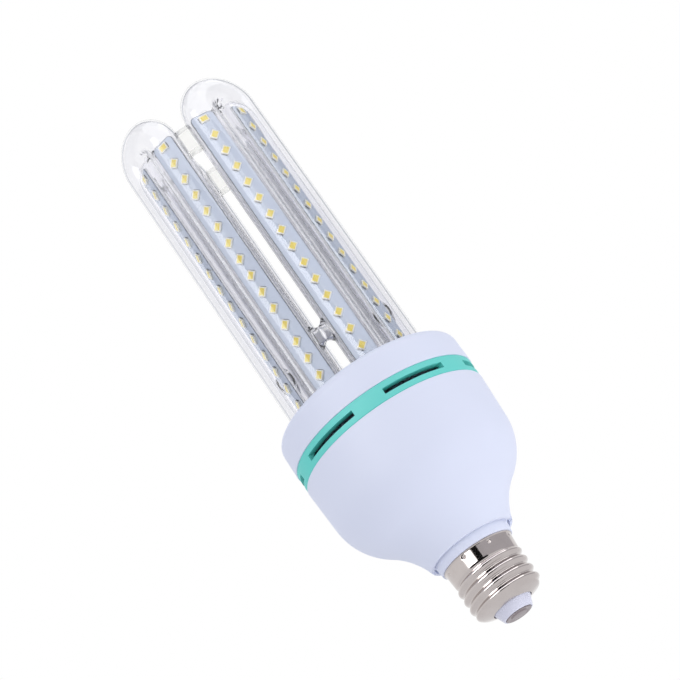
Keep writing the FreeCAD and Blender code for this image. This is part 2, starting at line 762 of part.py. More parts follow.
def bent_tube(name, radius, angle):
    """One U of the given radius: two straight legs and the half ring over them, as three primitives."""
    pieces = []
    for side, leg_angle in (("left", angle - LEG_STEP / 2), ("right", angle + LEG_STEP / 2)):
        leg = doc.addObject("Part::Cylinder", "%s_%s_leg" % (name, side))
        bind(leg, "Radius", radius)
        bind(leg, "Height", "bend_height - tube_bottom")
        place(leg, "leg_circle * cos(%g)" % leg_angle, "leg_circle * sin(%g)" % leg_angle, "tube_bottom")
        pieces.append(leg)
    bend = doc.addObject("Part::Torus", name + "_bend")
    bind(bend, "Radius1", "bend_radius")
    bind(bend, "Radius2", radius)
    bend.Angle3 = 180
    upright = FreeCAD.Rotation(FreeCAD.Vector(1, 0, 0), 90)
    turned = FreeCAD.Rotation(FreeCAD.Vector(0, 0, 1), angle + 90)
    bend.Placement = FreeCAD.Placement(FreeCAD.Vector(), turned * upright)
    bind(bend, "Placement.Base.x", "tube_plane * cos(%g)" % angle)
    bind(bend, "Placement.Base.y", "tube_plane * sin(%g)" % angle)
    bind(bend, "Placement.Base.z", "bend_height")
    pieces.append(bend)
    return pieces


def bridge_rod(name, radius, angle):
    """Rod from one leg's axis to the next leg's axis, between two neighbouring tubes."""
    rod = doc.addObject("Part::Cylinder", name)
    bind(rod, "Radius", radius)
    bind(rod, "Height", "2 * bend_radius")
    start = angle - LEG_STEP / 2
    lying = FreeCAD.Rotation(FreeCAD.Vector(0, 0, 1), FreeCAD.Vector(
        -math.sin(math.radians(angle)), math.cos(math.radians(angle)), 0))
    rod.Placement = FreeCAD.Placement(FreeCAD.Vector(), lying)
    bind(rod, "Placement.Base.x", "leg_circle * cos(%g)" % start)
    bind(rod, "Placement.Base.y", "leg_circle * sin(%g)" % start)
    bind(rod, "Placement.Base.z", "bridge_height")
    return rod


def tube_set(name, tube_radius, bridge_radius):
    """All U tubes and the bridges that join them, as one solid form."""
    pieces = []
    for index in range(TUBE_COUNT):
        angle = 45 + index * 360 / TUBE_COUNT
        pieces += bent_tube("%s_%d" % (name, index + 1), tube_radius, angle)
    for index, angle in enumerate(BRIDGE_ANGLES):
        pieces.append(bridge_rod("%s_bridge_%d" % (name, index + 1), bridge_radius, angle))
    fused = doc.addObject("Part::MultiFuse", name)
    fused.Shapes = pieces
    fused.Refine = True
    return fused


def make_glass_tubes():
    """Four clear U tubes, blown as one chain: short bridges join neighbours, with one gap at the back."""
    glass = doc.addObject("Part::Cut", "glass_tubes")
    glass.Base = tube_set("tube_outside", "tube_radius", "bridge_radius")
    glass.Tool = tube_set("tube_inside", "tube_bore", "bridge_radius - bridge_wall")
    glass.Label = "glass_tubes"
    return glass


def make_tube_bonds():
    """Dabs of clear silicone just under the bends, which hold neighbouring tubes steady."""
    body = new_body("tube_bonds")
    sketch = new_sketch(body, "bond_outline", "XY_Plane", lift="bond_bottom")
    draw_outline(sketch, [
        ("tube_plane + bond_depth / 2", "-bond_half_width"),
        ("tube_plane + bond_depth / 2", "bond_half_width", "-bond_round"),
        ("tube_plane - bond_depth / 2", "bond_half_width"),
        ("tube_plane - bond_depth / 2", "-bond_half_width", "-bond_round"),
    ])
    dab = pad(body, "bond_dab", sketch, "bond_length")
    doc.recompute()
    around(body, "bond_dabs", [dab], TUBE_COUNT)
    return body


def make_tube_seals():
    """Plugs of silicone in the tube mouths, which hold the strips and rest on the socket floors."""
    body = new_body("tube_seals")
    leg_x = "leg_circle * cos(half_step)"
    disc = new_sketch(body, "seal_outline", "XY_Plane", lift="tube_bottom")
    draw_circle(disc, leg_x, "leg_circle * sin(half_step)", "tube_bore - seal_gap")
    disc_pad = pad(body, "seal_disc", disc, "seal_height")
    doc.recompute()
    slot = new_sketch(body, "seal_slot_outline", "XY_Plane", "tube_bottom + seal_height", "half_step")
    draw_outline(slot, [
        ("leg_circle - strip_thickness / 2", "-strip_width / 2"),
        ("leg_circle + strip_thickness / 2", "-strip_width / 2"),
        ("leg_circle + strip_thickness / 2", "strip_width / 2"),
        ("leg_circle - strip_thickness / 2", "strip_width / 2"),
    ])
    slot_cut = pocket(body, "seal_slot", slot, "seal_height")
    around(body, "seals", [disc_pad, slot_cut], LEG_COUNT)
    return body


def leg_angle(index):
    """Where a leg stands, turned from the front of the lamp."""
    return index * LEG_STEP - LEG_STEP / 2


def make_led_strip(index):
    """Aluminium strip on the tube's middle plane, with rounded top corners."""
    body = new_body("led_strip_%d" % index)
    sketch = new_sketch(body, "strip_%d_outline" % index, lift="leg_circle - strip_thickness / 2")
    draw_outline(sketch, [
        ("-strip_width / 2", "strip_bottom"),
        ("strip_width / 2", "strip_bottom"),
        ("strip_width / 2", "strip_top - strip_corner", "strip_corner"),
        ("strip_width / 2 - strip_corner", "strip_top"),
        ("strip_corner - strip_width / 2", "strip_top", "strip_corner"),
        ("-strip_width / 2", "strip_top - strip_corner"),
    ])
    pad(body, "strip_%d_plate" % index, sketch, "strip_thickness")
    turn_about_axis(body, leg_angle(index))
    return body


def draw_light(sketch, height, turn, inset):
    """Outline of one light package, turned about its own middle."""
    across = "(light_length / 2 - %s)" % inset
    along = "(light_width / 2 - %s)" % inset
    corners = []
    for side, way in (("-", "-"), ("+", "-"), ("+", "+"), ("-", "+")):
        x = "0 %s %s * cos(%s) - (0 %s %s * sin(%s))" % (side, across, turn, way, along, turn)
        y = "%s %s %s * sin(%s) %s %s * cos(%s)" % (height, side, across, turn, way, along, turn)
        corners.append((x, y))
    draw_outline(sketch, corners)


def make_light_row(label, index, insets, height):
    """One light outline for the top light, square to the strip, and a row of turned ones below it."""
    body = new_body("%s_%d" % (label, index))
    pads = []
    for spot, middle, turn in (("top", "top_light_height", "0"), ("lowest", "lowest_light", "light_turn")):
        sketch = new_sketch(body, "%s_%d_%s_outline" % (label, index, spot), lift="strip_face")
        for inset in insets:
            draw_light(sketch, middle, turn, inset)
        pads.append(pad(body, "%s_%d_%s" % (label, index, spot), sketch, height))
        doc.recompute()
    row = body.newObject("PartDesign::LinearPattern", "%s_%d_row" % (label, index))
    row.Originals = [pads[1]]
    row.Direction = (origin_feature(body, "Z_Axis"), [""])
    bind(row, "Length", "light_run")
    row.Occurrences = LIGHT_COUNT - 1
    body.Tip = row
    turn_about_axis(body, leg_angle(index))
    return body


def make_driver_board():
    """Round board that rests on the housing's ribs, with a hole for the live wire."""
    body = new_body("driver_board")
    sketch = new_sketch(body, "board_outline", "XY_Plane", lift="board_height")
    draw_circle(sketch, "0", "0", "board_radius")
    pad(body, "board_plate", sketch, "board_thickness")
    return body


def make_smoothing_capacitor():
    """Round can that hangs under the board."""
    can = doc.addObject("Part::Cylinder", "capacitor_can")
    bind(can, "Radius", "capacitor_radius")
    bind(can, "Height", "capacitor_height")
    place(can, "-capacitor_radius - capacitor_step", "-capacitor_radius", "board_height - capacitor_height")
    doc.recompute()
    rounded = doc.addObject("Part::Fillet", "smoothing_capacitor")
    rounded.Base = can
    edge = round_edge_number(can.Shape, number("board_height - capacitor_height"))
    rounded.Edges = [(edge, number("capacitor_edge"), number("capacitor_edge"))]
    rounded.Label = "smoothing_capacitor"
    return rounded


def round_edge_number(shape, height):
    """The number of the circular edge at a height."""
    for index, edge in enumerate(shape.Edges, start=1):
        if isinstance(edge.Curve, Part.Circle) and abs(edge.CenterOfMass.z - height) < SMALL:
            return index
    raise RuntimeError("no round edge at that height")


def block(name, x, y, z, length, width, height):
    """A box fixed by the middle of its footprint and its lower face."""
    box = doc.addObject("Part::Box", name)
    bind(box, "Length", length)
    bind(box, "Width", width)
    bind(box, "Height", height)
    place(box, "%s - (%s) / 2" % (x, length), "%s - (%s) / 2" % (y, width), z)
    return box


TRANSFORMER_X = "core_length / 2 + core_step"
TRANSFORMER_Y = "(core_width + core_leg) / 2 + lead_radius + coil_gap * 2"


def make_transformer_core():
    """Ferrite frame: a block with two windows, so a middle leg stays between them."""
    bottom = "board_height - core_height"
    body = block("core_block", TRANSFORMER_X, TRANSFORMER_Y, bottom, "core_length", "core_width", "core_height")
    windows = []
    window_width = "(core_length - 3 * core_leg) / 2"
    for side, sign in (("left", "-"), ("right", "+")):
        middle = "%s %s (%s + core_leg) / 2" % (TRANSFORMER_X, sign, window_width)
        window = block("core_window_" + side, middle, TRANSFORMER_Y, bottom + " + core_leg / 2",
                       window_width, "core_width + core_leg", "core_height - core_leg")
        windows.append(window)
    core = doc.addObject("Part::Cut", "transformer_core")
    core.Base = body
    both = doc.addObject("Part::MultiFuse", "core_windows")
    both.Shapes = windows
    core.Tool = both
    core.Label = "transformer_core"
    return core


def make_transformer_coil():
    """Winding on the core's middle leg, seen as a block with the leg's hole through it."""
    bottom = "board_height - core_height + core_leg / 2 + coil_gap"
    height = "core_height - core_leg - 2 * coil_gap"
    reach = "(core_length - 3 * core_leg) - coil_gap * 2 + core_leg"
    depth = "core_width + core_leg"
    outside = block("coil_block", TRANSFORMER_X, TRANSFORMER_Y, bottom, reach, depth, height)
    inside = block("coil_hole", TRANSFORMER_X, TRANSFORMER_Y, bottom, "core_leg + coil_gap * 2",
                   "core_width + coil_gap * 2", height)
    coil = doc.addObject("Part::Cut", "transformer_coil")
    coil.Base = outside
    coil.Tool = inside
    coil.Label = "transformer_coil"
    return coil


def make_film_capacitor():
    """Dipped film block that hangs under the board."""
    box = block("film_block", "film_length / 2 + film_step", "-film_width / 2 - film_clearance",
                "board_height - film_height", "film_length", "film_width", "film_height")
    doc.recompute()
    rounded = doc.addObject("Part::Fillet", "film_capacitor")
    rounded.Base = box
    upright = []
    for index, edge in enumerate(box.Shape.Edges, start=1):
        if abs(edge.tangentAt(edge.FirstParameter).z) > 0.9:
            upright.append((index, number("film_edge"), number("film_edge")))
    rounded.Edges = upright
    rounded.Label = "film_capacitor"
    return rounded


def make_choke():
    """Drum core with a flange at each end."""
    body = new_body("choke")
    revolve(body, "choke_drum", [
        ("0", "board_height - choke_height"),
        ("choke_radius", "board_height - choke_height"),
        ("choke_radius", "board_height - choke_height + choke_flange"),
        ("choke_core_radius", "board_height - choke_height + choke_flange"),
        ("choke_core_radius", "board_height - choke_flange"),
        ("choke_radius", "board_height - choke_flange"),
        ("choke_radius", "board_height"),
        ("0", "board_height"),
    ])
    place(body, "-choke_radius * 2", "choke_radius * 2", "0")
    return body


def make_bridge_rectifier():
    """Flat package on the board's upper face."""
    box = block("bridge_rectifier", "-board_radius / 3", "board_radius / 4", "board_top",
                "bridge_rectifier_length", "bridge_rectifier_width", "bridge_rectifier_height")
    box.Label = "bridge_rectifier"
    return box


def make_driver_chip():
    """Small package on the board's upper face."""
    box = block("driver_chip", "board_radius / 3", "board_radius / 4", "board_top",
                "chip_length", "chip_width", "chip_height")
    box.Label = "driver_chip"
    return box


def make_fuse_resistor():
    """Round body that lies on the board's upper face."""
    rod = doc.addObject("Part::Cylinder", "fuse_resistor")
    bind(rod, "Radius", "fuse_radius")
    bind(rod, "Height", "fuse_length")
    place(rod, "-fuse_length / 2", "-board_radius / 2", "board_top + fuse_radius", tilt=((0, 1, 0), 90))
    rod.Label = "fuse_resistor"
    return rod


def make_live_wire():
    """Straight lead from the board down the axis into the contact's stem."""
    rod = doc.addObject("Part::Cylinder", "live_wire")
    bind(rod, "Radius", "lead_radius")
    bind(rod, "Height", "board_height - contact_thickness")
    place(rod, "0", "0", "contact_thickness")
    rod.Label = "live_wire"
    return rod


def pipe(body, name, path, x, y, radius, section_plane, lift):
    """A round section at the path's first end, swept along the path."""
    section = new_sketch(body, name + "_section", section_plane, lift=lift)
    draw_circle(section, x, y, radius)
    feature = body.newObject("PartDesign::AdditivePipe", name)
    feature.Profile = section
    feature.Spine = (path, [])
    return feature


def make_neutral_wire():
    """Lead from the board past the holder's bore, bent outwards to the shell's wall under the spigot."""
    body = new_body("neutral_wire")
    path = new_sketch(body, "neutral_path")
    draw_outline(path, [
        ("lead_offset", "board_height"),
        ("lead_offset", "lead_end + lead_bend", "lead_bend"),
        ("lead_offset + lead_bend", "lead_end"),
    ], closed=False)
    pipe(body, "neutral_lead", path, "lead_offset", "0", "lead_radius", "XY_Plane", "board_height")
    return body


def make_strip_jumpers():
    """Flat bent links that join the lower ends of neighbouring strips, in line round the lamp."""
    body = new_body("strip_jumpers")
    link = new_sketch(body, "link_outline", lift="tube_plane")
    outside = "bend_radius - link_inset"
    inside = outside + " - link_thickness"
    low = "strip_bottom - link_drop"
    draw_outline(link, [
        ("-(%s)" % outside, "strip_bottom"),
        ("-(%s)" % outside, low),
        (outside, low),
        (outside, "strip_bottom"),
        (inside, "strip_bottom"),
        (inside, low + " + link_thickness"),
        ("-(%s)" % inside, low + " + link_thickness"),
        ("-(%s)" % inside, "strip_bottom"),
    ])
    first = pad(body, "link_plate", link, "link_width", both_ways=True)
    doc.recompute()
    row = body.newObject("PartDesign::PolarPattern", "link_row")
    row.Originals = [first]
    row.Axis = (origin_feature(body, "Z_Axis"), [""])
    row.Angle = 360 - 2 * LEG_STEP
    row.Occurrences = LEG_COUNT - 1
    body.Tip = row
    return body


def make_feed_wires():
    """Two leads from the board's upper face to the first and the last strip."""
    body = new_body("feed_wires")
    rods = []
    for side, angle in (("first", 0), ("last", LEG_STEP)):
        sketch = new_sketch(body, "feed_%s_outline" % side, "XY_Plane", lift="board_top")
        x = "leg_circle * cos(half_step + %g)" % angle
        y = "leg_circle * sin(half_step + %g)" % angle
        draw_circle(sketch, x, y, "feed_radius")
        rods.append(pad(body, "feed_%s" % side, sketch, "strip_bottom - board_top"))
        doc.recompute()
    turn_about_axis(body, 180)
    return body


def make_all():
    """Every sub-part of the lamp, from the tip upwards."""
    parts = [
        make_centre_contact(),
        make_tip_insulator(),
        make_screw_shell(),
        make_cap_holder(),
        make_lower_housing(),
        make_vent_ring(),
        make_top_cover(),
        make_glass_tubes(),
        make_tube_bonds(),
        make_tube_seals(),
        make_driver_board(),
        make_smoothing_capacitor(),
        make_transformer_core(),
        make_transformer_coil(),
        make_film_capacitor(),
        make_choke(),
        make_bridge_rectifier(),
        make_driver_chip(),
        make_fuse_resistor(),
        make_live_wire(),
        make_neutral_wire(),
        make_feed_wires(),
        make_strip_jumpers(),
    ]
    for index in range(1, LEG_COUNT + 1):
        parts.append(make_led_strip(index))
        parts.append(make_light_row("led_bodies", index, ("0", "light_rim"), "light_height"))
        parts.append(make_light_row("led_phosphors", index, ("light_rim",), "light_height - light_recess"))
    return parts


def write_parts(parts):
    """Check every object and every sub-part's shape, then write one file for each sub-part."""
    doc.recompute()
    failed = [item.Name for item in doc.Objects if "Invalid" in item.State or "Error" in item.State]
    if failed:
        raise RuntimeError("failed objects: " + ", ".join(failed))
    for part in parts:
        if part.Shape.isNull() or not part.Shape.isValid():
            raise RuntimeError("bad shape: " + part.Label)
    os.makedirs("parts", exist_ok=True)
    for part in parts:
        part.Shape.exportStep("parts/%s.step" % part.Label)
        print("%-22s %2d solid(s) %10.2f mm3" % (part.Label, len(part.Shape.Solids), part.Shape.Volume))


write_parts(make_all())
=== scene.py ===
import bpy
import math
from mathutils import Matrix, Vector


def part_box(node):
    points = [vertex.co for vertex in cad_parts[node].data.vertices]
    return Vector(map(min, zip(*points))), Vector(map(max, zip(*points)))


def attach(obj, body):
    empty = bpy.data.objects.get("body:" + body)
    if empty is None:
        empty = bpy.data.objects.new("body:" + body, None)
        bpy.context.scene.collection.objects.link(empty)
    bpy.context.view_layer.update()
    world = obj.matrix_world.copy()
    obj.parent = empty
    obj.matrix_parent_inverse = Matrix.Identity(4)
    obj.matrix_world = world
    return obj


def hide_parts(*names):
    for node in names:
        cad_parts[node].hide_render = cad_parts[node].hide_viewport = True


# A tubular lamp: four clear U tubes with light strips inside, a white housing with a green vent ring
# and a screw cap. The model is in metres. Sizes named here are in millimetres, and angles in degrees
# unless math.radians turns them.

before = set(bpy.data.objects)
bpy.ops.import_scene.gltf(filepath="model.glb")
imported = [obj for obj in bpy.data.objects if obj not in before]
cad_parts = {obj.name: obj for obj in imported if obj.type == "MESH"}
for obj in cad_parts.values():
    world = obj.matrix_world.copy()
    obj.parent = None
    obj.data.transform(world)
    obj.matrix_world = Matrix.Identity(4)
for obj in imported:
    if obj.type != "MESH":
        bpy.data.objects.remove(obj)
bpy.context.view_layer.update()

MM = 0.001
MERGE_DISTANCE = 0.002 * MM

# How far a cutter or a filling reaches past a face
OVERCUT = 1

LEG_COUNT = 8
LIGHT_COUNT = 15
VENT_COUNT = 6
LEG_STEP = 360 / LEG_COUNT
BRIDGE_ANGLES = (-90, 0, 180)

# Sides of the turned pieces
SHELL_SIDES = 288
HOUSING_SIDES = 192
HOLDER_SIDES = 144
CONTACT_SIDES = 96
TUBE_SIDES = 72
SOCKET_SIDES = 64


def height_of(node, end):
    """Lowest (0) or highest (1) point of a CAD node, in millimetres."""
    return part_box(node)[end].z / MM


def radius_of(node):
    """How far a CAD node reaches from the lamp's axis, in millimetres."""
    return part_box(node)[1].x / MM


# Heights and radii that the frame gives
SHELL_BOTTOM = height_of("screw_shell", 0)
SHELL_TOP = height_of("screw_shell", 1)
HOUSING_BOTTOM = height_of("lower_housing", 0)
HOUSING_TOP = height_of("lower_housing", 1)
HOUSING_RADIUS = radius_of("lower_housing")
RING_TOP = height_of("top_cover", 0)
COVER_TOP = height_of("top_cover", 1)
COVER_RADIUS = radius_of("top_cover")
TUBE_BOTTOM = height_of("glass_tubes", 0)
TUBE_TOP = height_of("glass_tubes", 1)
STRIP_BOTTOM = height_of("led_strip_1", 0)
STRIP_TOP = height_of("led_strip_1", 1)

# Screw shell
SHELL_WALL = 0.35
SHELL_ROW = 0.2
MOUTH_RADIUS = 7.56
SHELL_SLOPE = math.radians(19.4)
SHOULDER_RADIUS = 12.5
SHOULDER_ROUND = 2.2
THREAD_CREST = 13.1
THREAD_ROOT = 11.95
THREAD_SHARPNESS = 0.1
THREAD_PITCH = 3.6
THREAD_START = 7.55
THREAD_START_ANGLE = -60
THREAD_FADE_IN = (5.9, 7.3)
COLLAR_BOTTOM = 20.4
THREAD_FADE_OUT = (COLLAR_BOTTOM - 1.9, COLLAR_BOTTOM - 0.3)
COLLAR_RISE = 1
COLLAR_RADIUS = 13.05
COLLAR_TAPER = 0.4
LIP_RADIUS = 13.8
LIP_HEIGHT = 0.7
LIP_BRIM = 0.05
LIP_LEAN = 0.3
DENT_HEIGHT = 24.3
DENT_RADIUS = 0.9
DENT_FLOOR = 0.25 * DENT_RADIUS
DENT_DEPTH = 0.55
DENT_COUNT = 8
DENT_FIRST_ANGLE = 27

# Centre contact: a low dome, a groove round it and a rim
CONTACT_SOFT = 0.3
CONTACT_RIM_SOFT = 0.4
CONTACT_EDGE_SOFT = 0.25
CONTACT_DOME = 3
CONTACT_GROOVE = 3.3
CONTACT_GROOVE_DEPTH = 0.4
CONTACT_RIM = 3.9
CONTACT_RIM_DEPTH = 0.25
CONTACT_EDGE_DEPTH = 0.2
CONTACT_TOP = 0.8
STEM_RADIUS = 1.9
STEM_TOP = 8.2

# Tip insulator and cap holder
SEAT_GAP = 0.15
CONE_BORE = 2
CONE_SEAT = 5.2
CONE_RIM = 5.7
CONE_BOTTOM = 0.5
CONE_TOP = 7.4
CONE_FLANGE = SHOULDER_RADIUS - 2.7
CONE_SEAT_SOFT = 0.12
CONE_RIM_SOFT = 0.35
HOLDER_BORE = 10.2
HOLDER_UPPER_BORE = 13.1
HOLDER_STEP = 27.4
HOLDER_BOTTOM = 15
HOLDER_SHOULDER = COLLAR_BOTTOM + 1.05
HOLDER_BAND_LOW = 14.3
HOLDER_BAND_HIGH = 14.8
HOLDER_BAND_TOP = 30.4
HOLDER_SOFT = 0.3
HOLDER_BAND_SOFT = 0.2
NECK_GAP = 0.2
SNAP_RADIUS = 16
SNAP_HEIGHT = 1.6

# Housing: a dome arc and a flare arc that meet in a smooth turn
WALL = 1.8
DRAFT = math.radians(2.86)
DOME_HEIGHT = 61.3
DOME_ROUND = 23.12
NECK_HOLE = 15.5
NECK_RADIUS = 16.56
NECK_LEAN = math.radians(17.57)
LEDGE_HEIGHT = 33.4
RIM_BEVEL = 0.3
FLARE_START = 0.02
NECK_SIDE = (17, 30.6)
NOTCH_LENGTH = 6
NOTCH_WIDTH = 3.4
NOTCH_HEIGHT = 2.6

# Vent ring and its slots, which narrow towards the inside
RING_RADIUS = 36.4
RING_BORE = 34.0
RING_LIP = 1.8
RING_LIP_REACH = 3
RING_LIP_ROOT = 1.8
RING_BORE_TOP = 2.7
LOWER_LIP_GAP = 0.45
UPPER_LIP_GAP = 0.3
VENT_WIDTH = 26.8
VENT_FLARE = 0.3
VENT_NARROWING = 3.0
VENT_HEIGHT = 2.3
VENT_MIDDLE = HOUSING_TOP + 3.35
VENT_DEPTH_RADIUS = 29

# Top cover and its sockets
COVER_WALL = 2
COVER_DECK = 2.2
COVER_DRAFT = 0.28
COVER_ROUND = 3.33
COVER_INNER_ROUND = 2
SOCKET_GAP = 0.25
SOCKET_WALL = 1.2
SOCKET_FLOOR = 1.5
SOCKET_HOLE = 5.5
SOCKET_CHAMFER = 0.3
SOCKET_OVERCUT = 0.4

# Clear tubes
TUBE_RADIUS = 6.5
TUBE_WALL = 0.9
LEG_CIRCLE = 22.6
HALF_STEP = math.radians(LEG_STEP / 2)
BEND_RADIUS = LEG_CIRCLE * math.sin(HALF_STEP)
TUBE_PLANE = LEG_CIRCLE * math.cos(HALF_STEP)
BEND_HEIGHT = TUBE_TOP - TUBE_RADIUS - BEND_RADIUS
BEND_STEPS = 44
BRIDGE_HEIGHT = 117
BRIDGE_RADIUS = 3
BRIDGE_WALL = 0.8
BRIDGE_ZONE = 8
BRIDGE_ZONE_ROWS = 16
BRIDGE_ROWS = 12
WRINKLE_REACH = 12
WRINKLE_FADE = 3.8
WRINKLE_ACROSS = 2.8
WRINKLE_ALONG = 2.3
WRINKLE_SHARE = 0.6
BOND_TOP = BEND_HEIGHT
BOND_LENGTH = 9.5
BOND_DEPTH = 5.4
BOND_GAP = 0.05
BOND_SAG = 1.3
BOND_STEPS = 12

# Light strips
STRIP_WIDTH = 9.5
STRIP_THICKNESS = 1
STRIP_CORNER = 1.8
STRIP_FACE = LEG_CIRCLE + STRIP_THICKNESS / 2
LAYER = 0.12
# The dark dielectric layer shows as a band between these two borders and on the strips' cut edges: a real
# layer, and its dark tone is also painted shade along the edges
DIELECTRIC_BORDER = 0.02
MASK_BORDER = 0.25
LIGHT_LENGTH = 3.5
LIGHT_WIDTH = 2.8
LIGHT_HEIGHT = 0.7
LIGHT_RIM = 0.4
LIGHT_EDGE = 0.07
WELL_DEPTH = 0.16
WELL_NARROWING = (0.94, 1, 0.92)
FILL_DEPTH = 0.3
FILL_SLOPE = 0.35
FILL_CROWN = 0.05
FILL_BELOW_RIM = 0.08
FILLET_LENGTH = 0.5
FILLET_WIDTH = 1.9
FILLET_HEIGHT = 0.22
LIGHT_PITCH = 7.55
LIGHT_TURN = 45
TOP_LIGHT_HEIGHT = 210.6


# Modelling steps

def deselect():
    """Nothing selected, in object mode."""
    bpy.ops.object.select_all(action="DESELECT")


def choose(piece):
    """Only this piece selected and active."""
    deselect()
    piece.select_set(True)
    bpy.context.view_layer.objects.active = piece


def named(name):
    """Name the piece that was just added."""
    piece = bpy.context.active_object
    piece.name = name
    piece.data.name = name
    return piece


def edit(piece):
    """Edit mode on one piece, with all of it selected."""
    choose(piece)
    bpy.ops.object.mode_set(mode="EDIT")
    bpy.ops.mesh.select_mode(type="VERT")
    bpy.ops.mesh.select_all(action="SELECT")


def pick(piece, kind, wanted):
    """Edit mode on one piece, with only its wanted faces or edges selected."""
    choose(piece)
    bpy.ops.object.mode_set(mode="EDIT")
    bpy.ops.mesh.select_mode(type=kind)
    bpy.ops.mesh.select_all(action="DESELECT")
    bpy.ops.object.mode_set(mode="OBJECT")
    for element in piece.data.polygons if kind == "FACE" else piece.data.edges:
        element.select = wanted(element)
    bpy.ops.object.mode_set(mode="EDIT")


def leave():
    """Back to object mode."""
    bpy.ops.object.mode_set(mode="OBJECT")


def metres(x, y, z):
    """A place in metres from one in millimetres."""
    return Vector((x, y, z)) * MM


def set_down(piece):
    """Place, turn and scale go into the mesh, and the object sits at the origin."""
    choose(piece)
    bpy.ops.object.transform_apply(location=True, rotation=True, scale=True)


def box(name, size, place=(0, 0, 0)):
    """A box of a size about a place, both as (x, y, z) in millimetres."""
    bpy.ops.mesh.primitive_cube_add(size=1, location=metres(*place))
    piece = named(name)
    piece.scale = metres(*size)
    set_down(piece)
    return piece


def extrude(step):
    """Extrude what is selected by a step in metres."""
    bpy.ops.mesh.extrude_region_move(TRANSFORM_OT_translate={"value": step})


def arc(middle_x, middle_z, radius, start, end, steps):
    """Points on an arc, angles in radians, as (x, z)."""
    points = []
    for index in range(steps + 1):
        angle = start + (end - start) * index / steps
        points.append((middle_x + radius * math.cos(angle), middle_z + radius * math.sin(angle)))
    return points


def outline(corners, steps=4):
    """An outline of (x, z) corners, where a third entry rounds the corner with that radius."""
    points = []
    for index, corner in enumerate(corners):
        here = Vector(corner[:2])
        if len(corner) == 2:
            points.append(tuple(here))
            continue
        before = (Vector(corners[index - 1][:2]) - here).normalized()
        after = (Vector(corners[(index + 1) % len(corners)][:2]) - here).normalized()
        half = before.angle(after) / 2
        reach = corner[2] / math.tan(half)
        middle = here + (before + after).normalized() * corner[2] / math.sin(half)
        first = here + before * reach - middle
        last = here + after * reach - middle
        for step in range(steps + 1):
            turned = first.lerp(last, step / steps).normalized() * corner[2]
            points.append(tuple(middle + turned))
    return points


def drawn(name, points, closed):
    """A wire through points in metres, extruded one after the other from a single vertex."""
    deselect()
    bpy.ops.mesh.primitive_plane_add(size=MM)
    piece = named(name)
    edit(piece)
    bpy.ops.mesh.merge(type="CENTER")
    bpy.ops.transform.translate(value=points[0])
    for before, after in zip(points, points[1:]):
        extrude(after - before)
    if closed:
        bpy.ops.mesh.select_all(action="SELECT")
        bpy.ops.mesh.edge_face_add()
        bpy.ops.mesh.delete(type="ONLY_FACE")
    return piece


def turned(name, profile, sides, closed=True):
    """A piece turned on a lathe from a profile of (x, z) points round the lamp's axis."""
    points = [metres(x, 0, z) for x, z in profile]
    if closed:
        points.append(points[0])
    return spun(name, points, sides, Vector(), (0, 0, 1))


def spun(name, points, sides, centre, axis):
    """A wire through points, spun a whole turn, closed where it meets itself."""
    piece = drawn(name, points, closed=False)
    bpy.ops.mesh.select_all(action="SELECT")
    bpy.ops.mesh.spin(steps=sides, angle=2 * math.pi, center=centre, axis=axis)
    bpy.ops.mesh.select_all(action="SELECT")
    bpy.ops.mesh.remove_doubles(threshold=MERGE_DISTANCE)
    bpy.ops.mesh.normals_make_consistent(inside=False)
    leave()
    set_down(piece)
    return piece


def combine(piece, tool, operation):
    """Add a tool's form to the piece or cut it out. The tool is used up."""
    choose(piece)
    modifier = piece.modifiers.new(operation.lower(), "BOOLEAN")
    modifier.operation = operation
    modifier.solver = "EXACT"
    modifier.object = tool
    bpy.ops.object.modifier_apply(modifier=modifier.name)
    bpy.data.objects.remove(tool)
    edit(piece)
    bpy.ops.mesh.remove_doubles(threshold=MERGE_DISTANCE)
    bpy.ops.mesh.dissolve_degenerate(threshold=MERGE_DISTANCE / 2)
    leave()


def soften(piece, width, segments=2, angle=40):
    """Round the sharp edges of a piece."""
    choose(piece)
    modifier = piece.modifiers.new("soften", "BEVEL")
    modifier.width = width * MM
    modifier.segments = segments
    modifier.limit_method = "ANGLE"
    modifier.angle_limit = math.radians(angle)
    bpy.ops.object.modifier_apply(modifier=modifier.name)


def thicken(piece, wall):
    """Give an open surface a wall towards its inside."""
    choose(piece)
    modifier = piece.modifiers.new("wall", "SOLIDIFY")
    modifier.thickness = wall * MM
    modifier.offset = -1
    modifier.use_even_offset = True
    bpy.ops.object.modifier_apply(modifier=modifier.name)


def smooth(piece, angle):
    """Round surfaces shaded smooth, with edges sharper than the angle kept."""
    choose(piece)
    bpy.ops.object.shade_smooth_by_angle(angle=math.radians(angle))


def copied(piece, name):
    """A copy with its own mesh."""
    choose(piece)
    bpy.ops.object.duplicate()
    return named(name)


def turn_round(piece, angle):
    """Turn a piece about the lamp's axis, counter-clockwise from above, in degrees."""
    turn = Matrix.Rotation(math.radians(angle), 4, "Z")
    piece.matrix_world = turn @ piece.matrix_world
    set_down(piece)


def joined(pieces, name):
    """Several pieces as one."""
    deselect()
    for piece in pieces:
        piece.select_set(True)
    bpy.context.view_layer.objects.active = pieces[0]
    bpy.ops.object.join()
    return named(name)


def fitted(piece, material, slot, *nodes, angle=30):
    """Finish a piece: its shading, its material and the CAD nodes it stands for."""
    smooth(piece, angle)
    piece.data.materials.clear()
    piece.data.materials.append(material)
    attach(piece, "root")
    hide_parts(*nodes)
    return piece


# Finishes

def colour(code):
    """A colour written as sRGB hex, turned to linear light."""
    channels = [int(code[index:index + 2], 16) / 255 for index in (0, 2, 4)]
    linear = [value / 12.92 if value <= 0.04045 else ((value + 0.055) / 1.055) ** 2.4 for value in channels]
    return linear + [1]


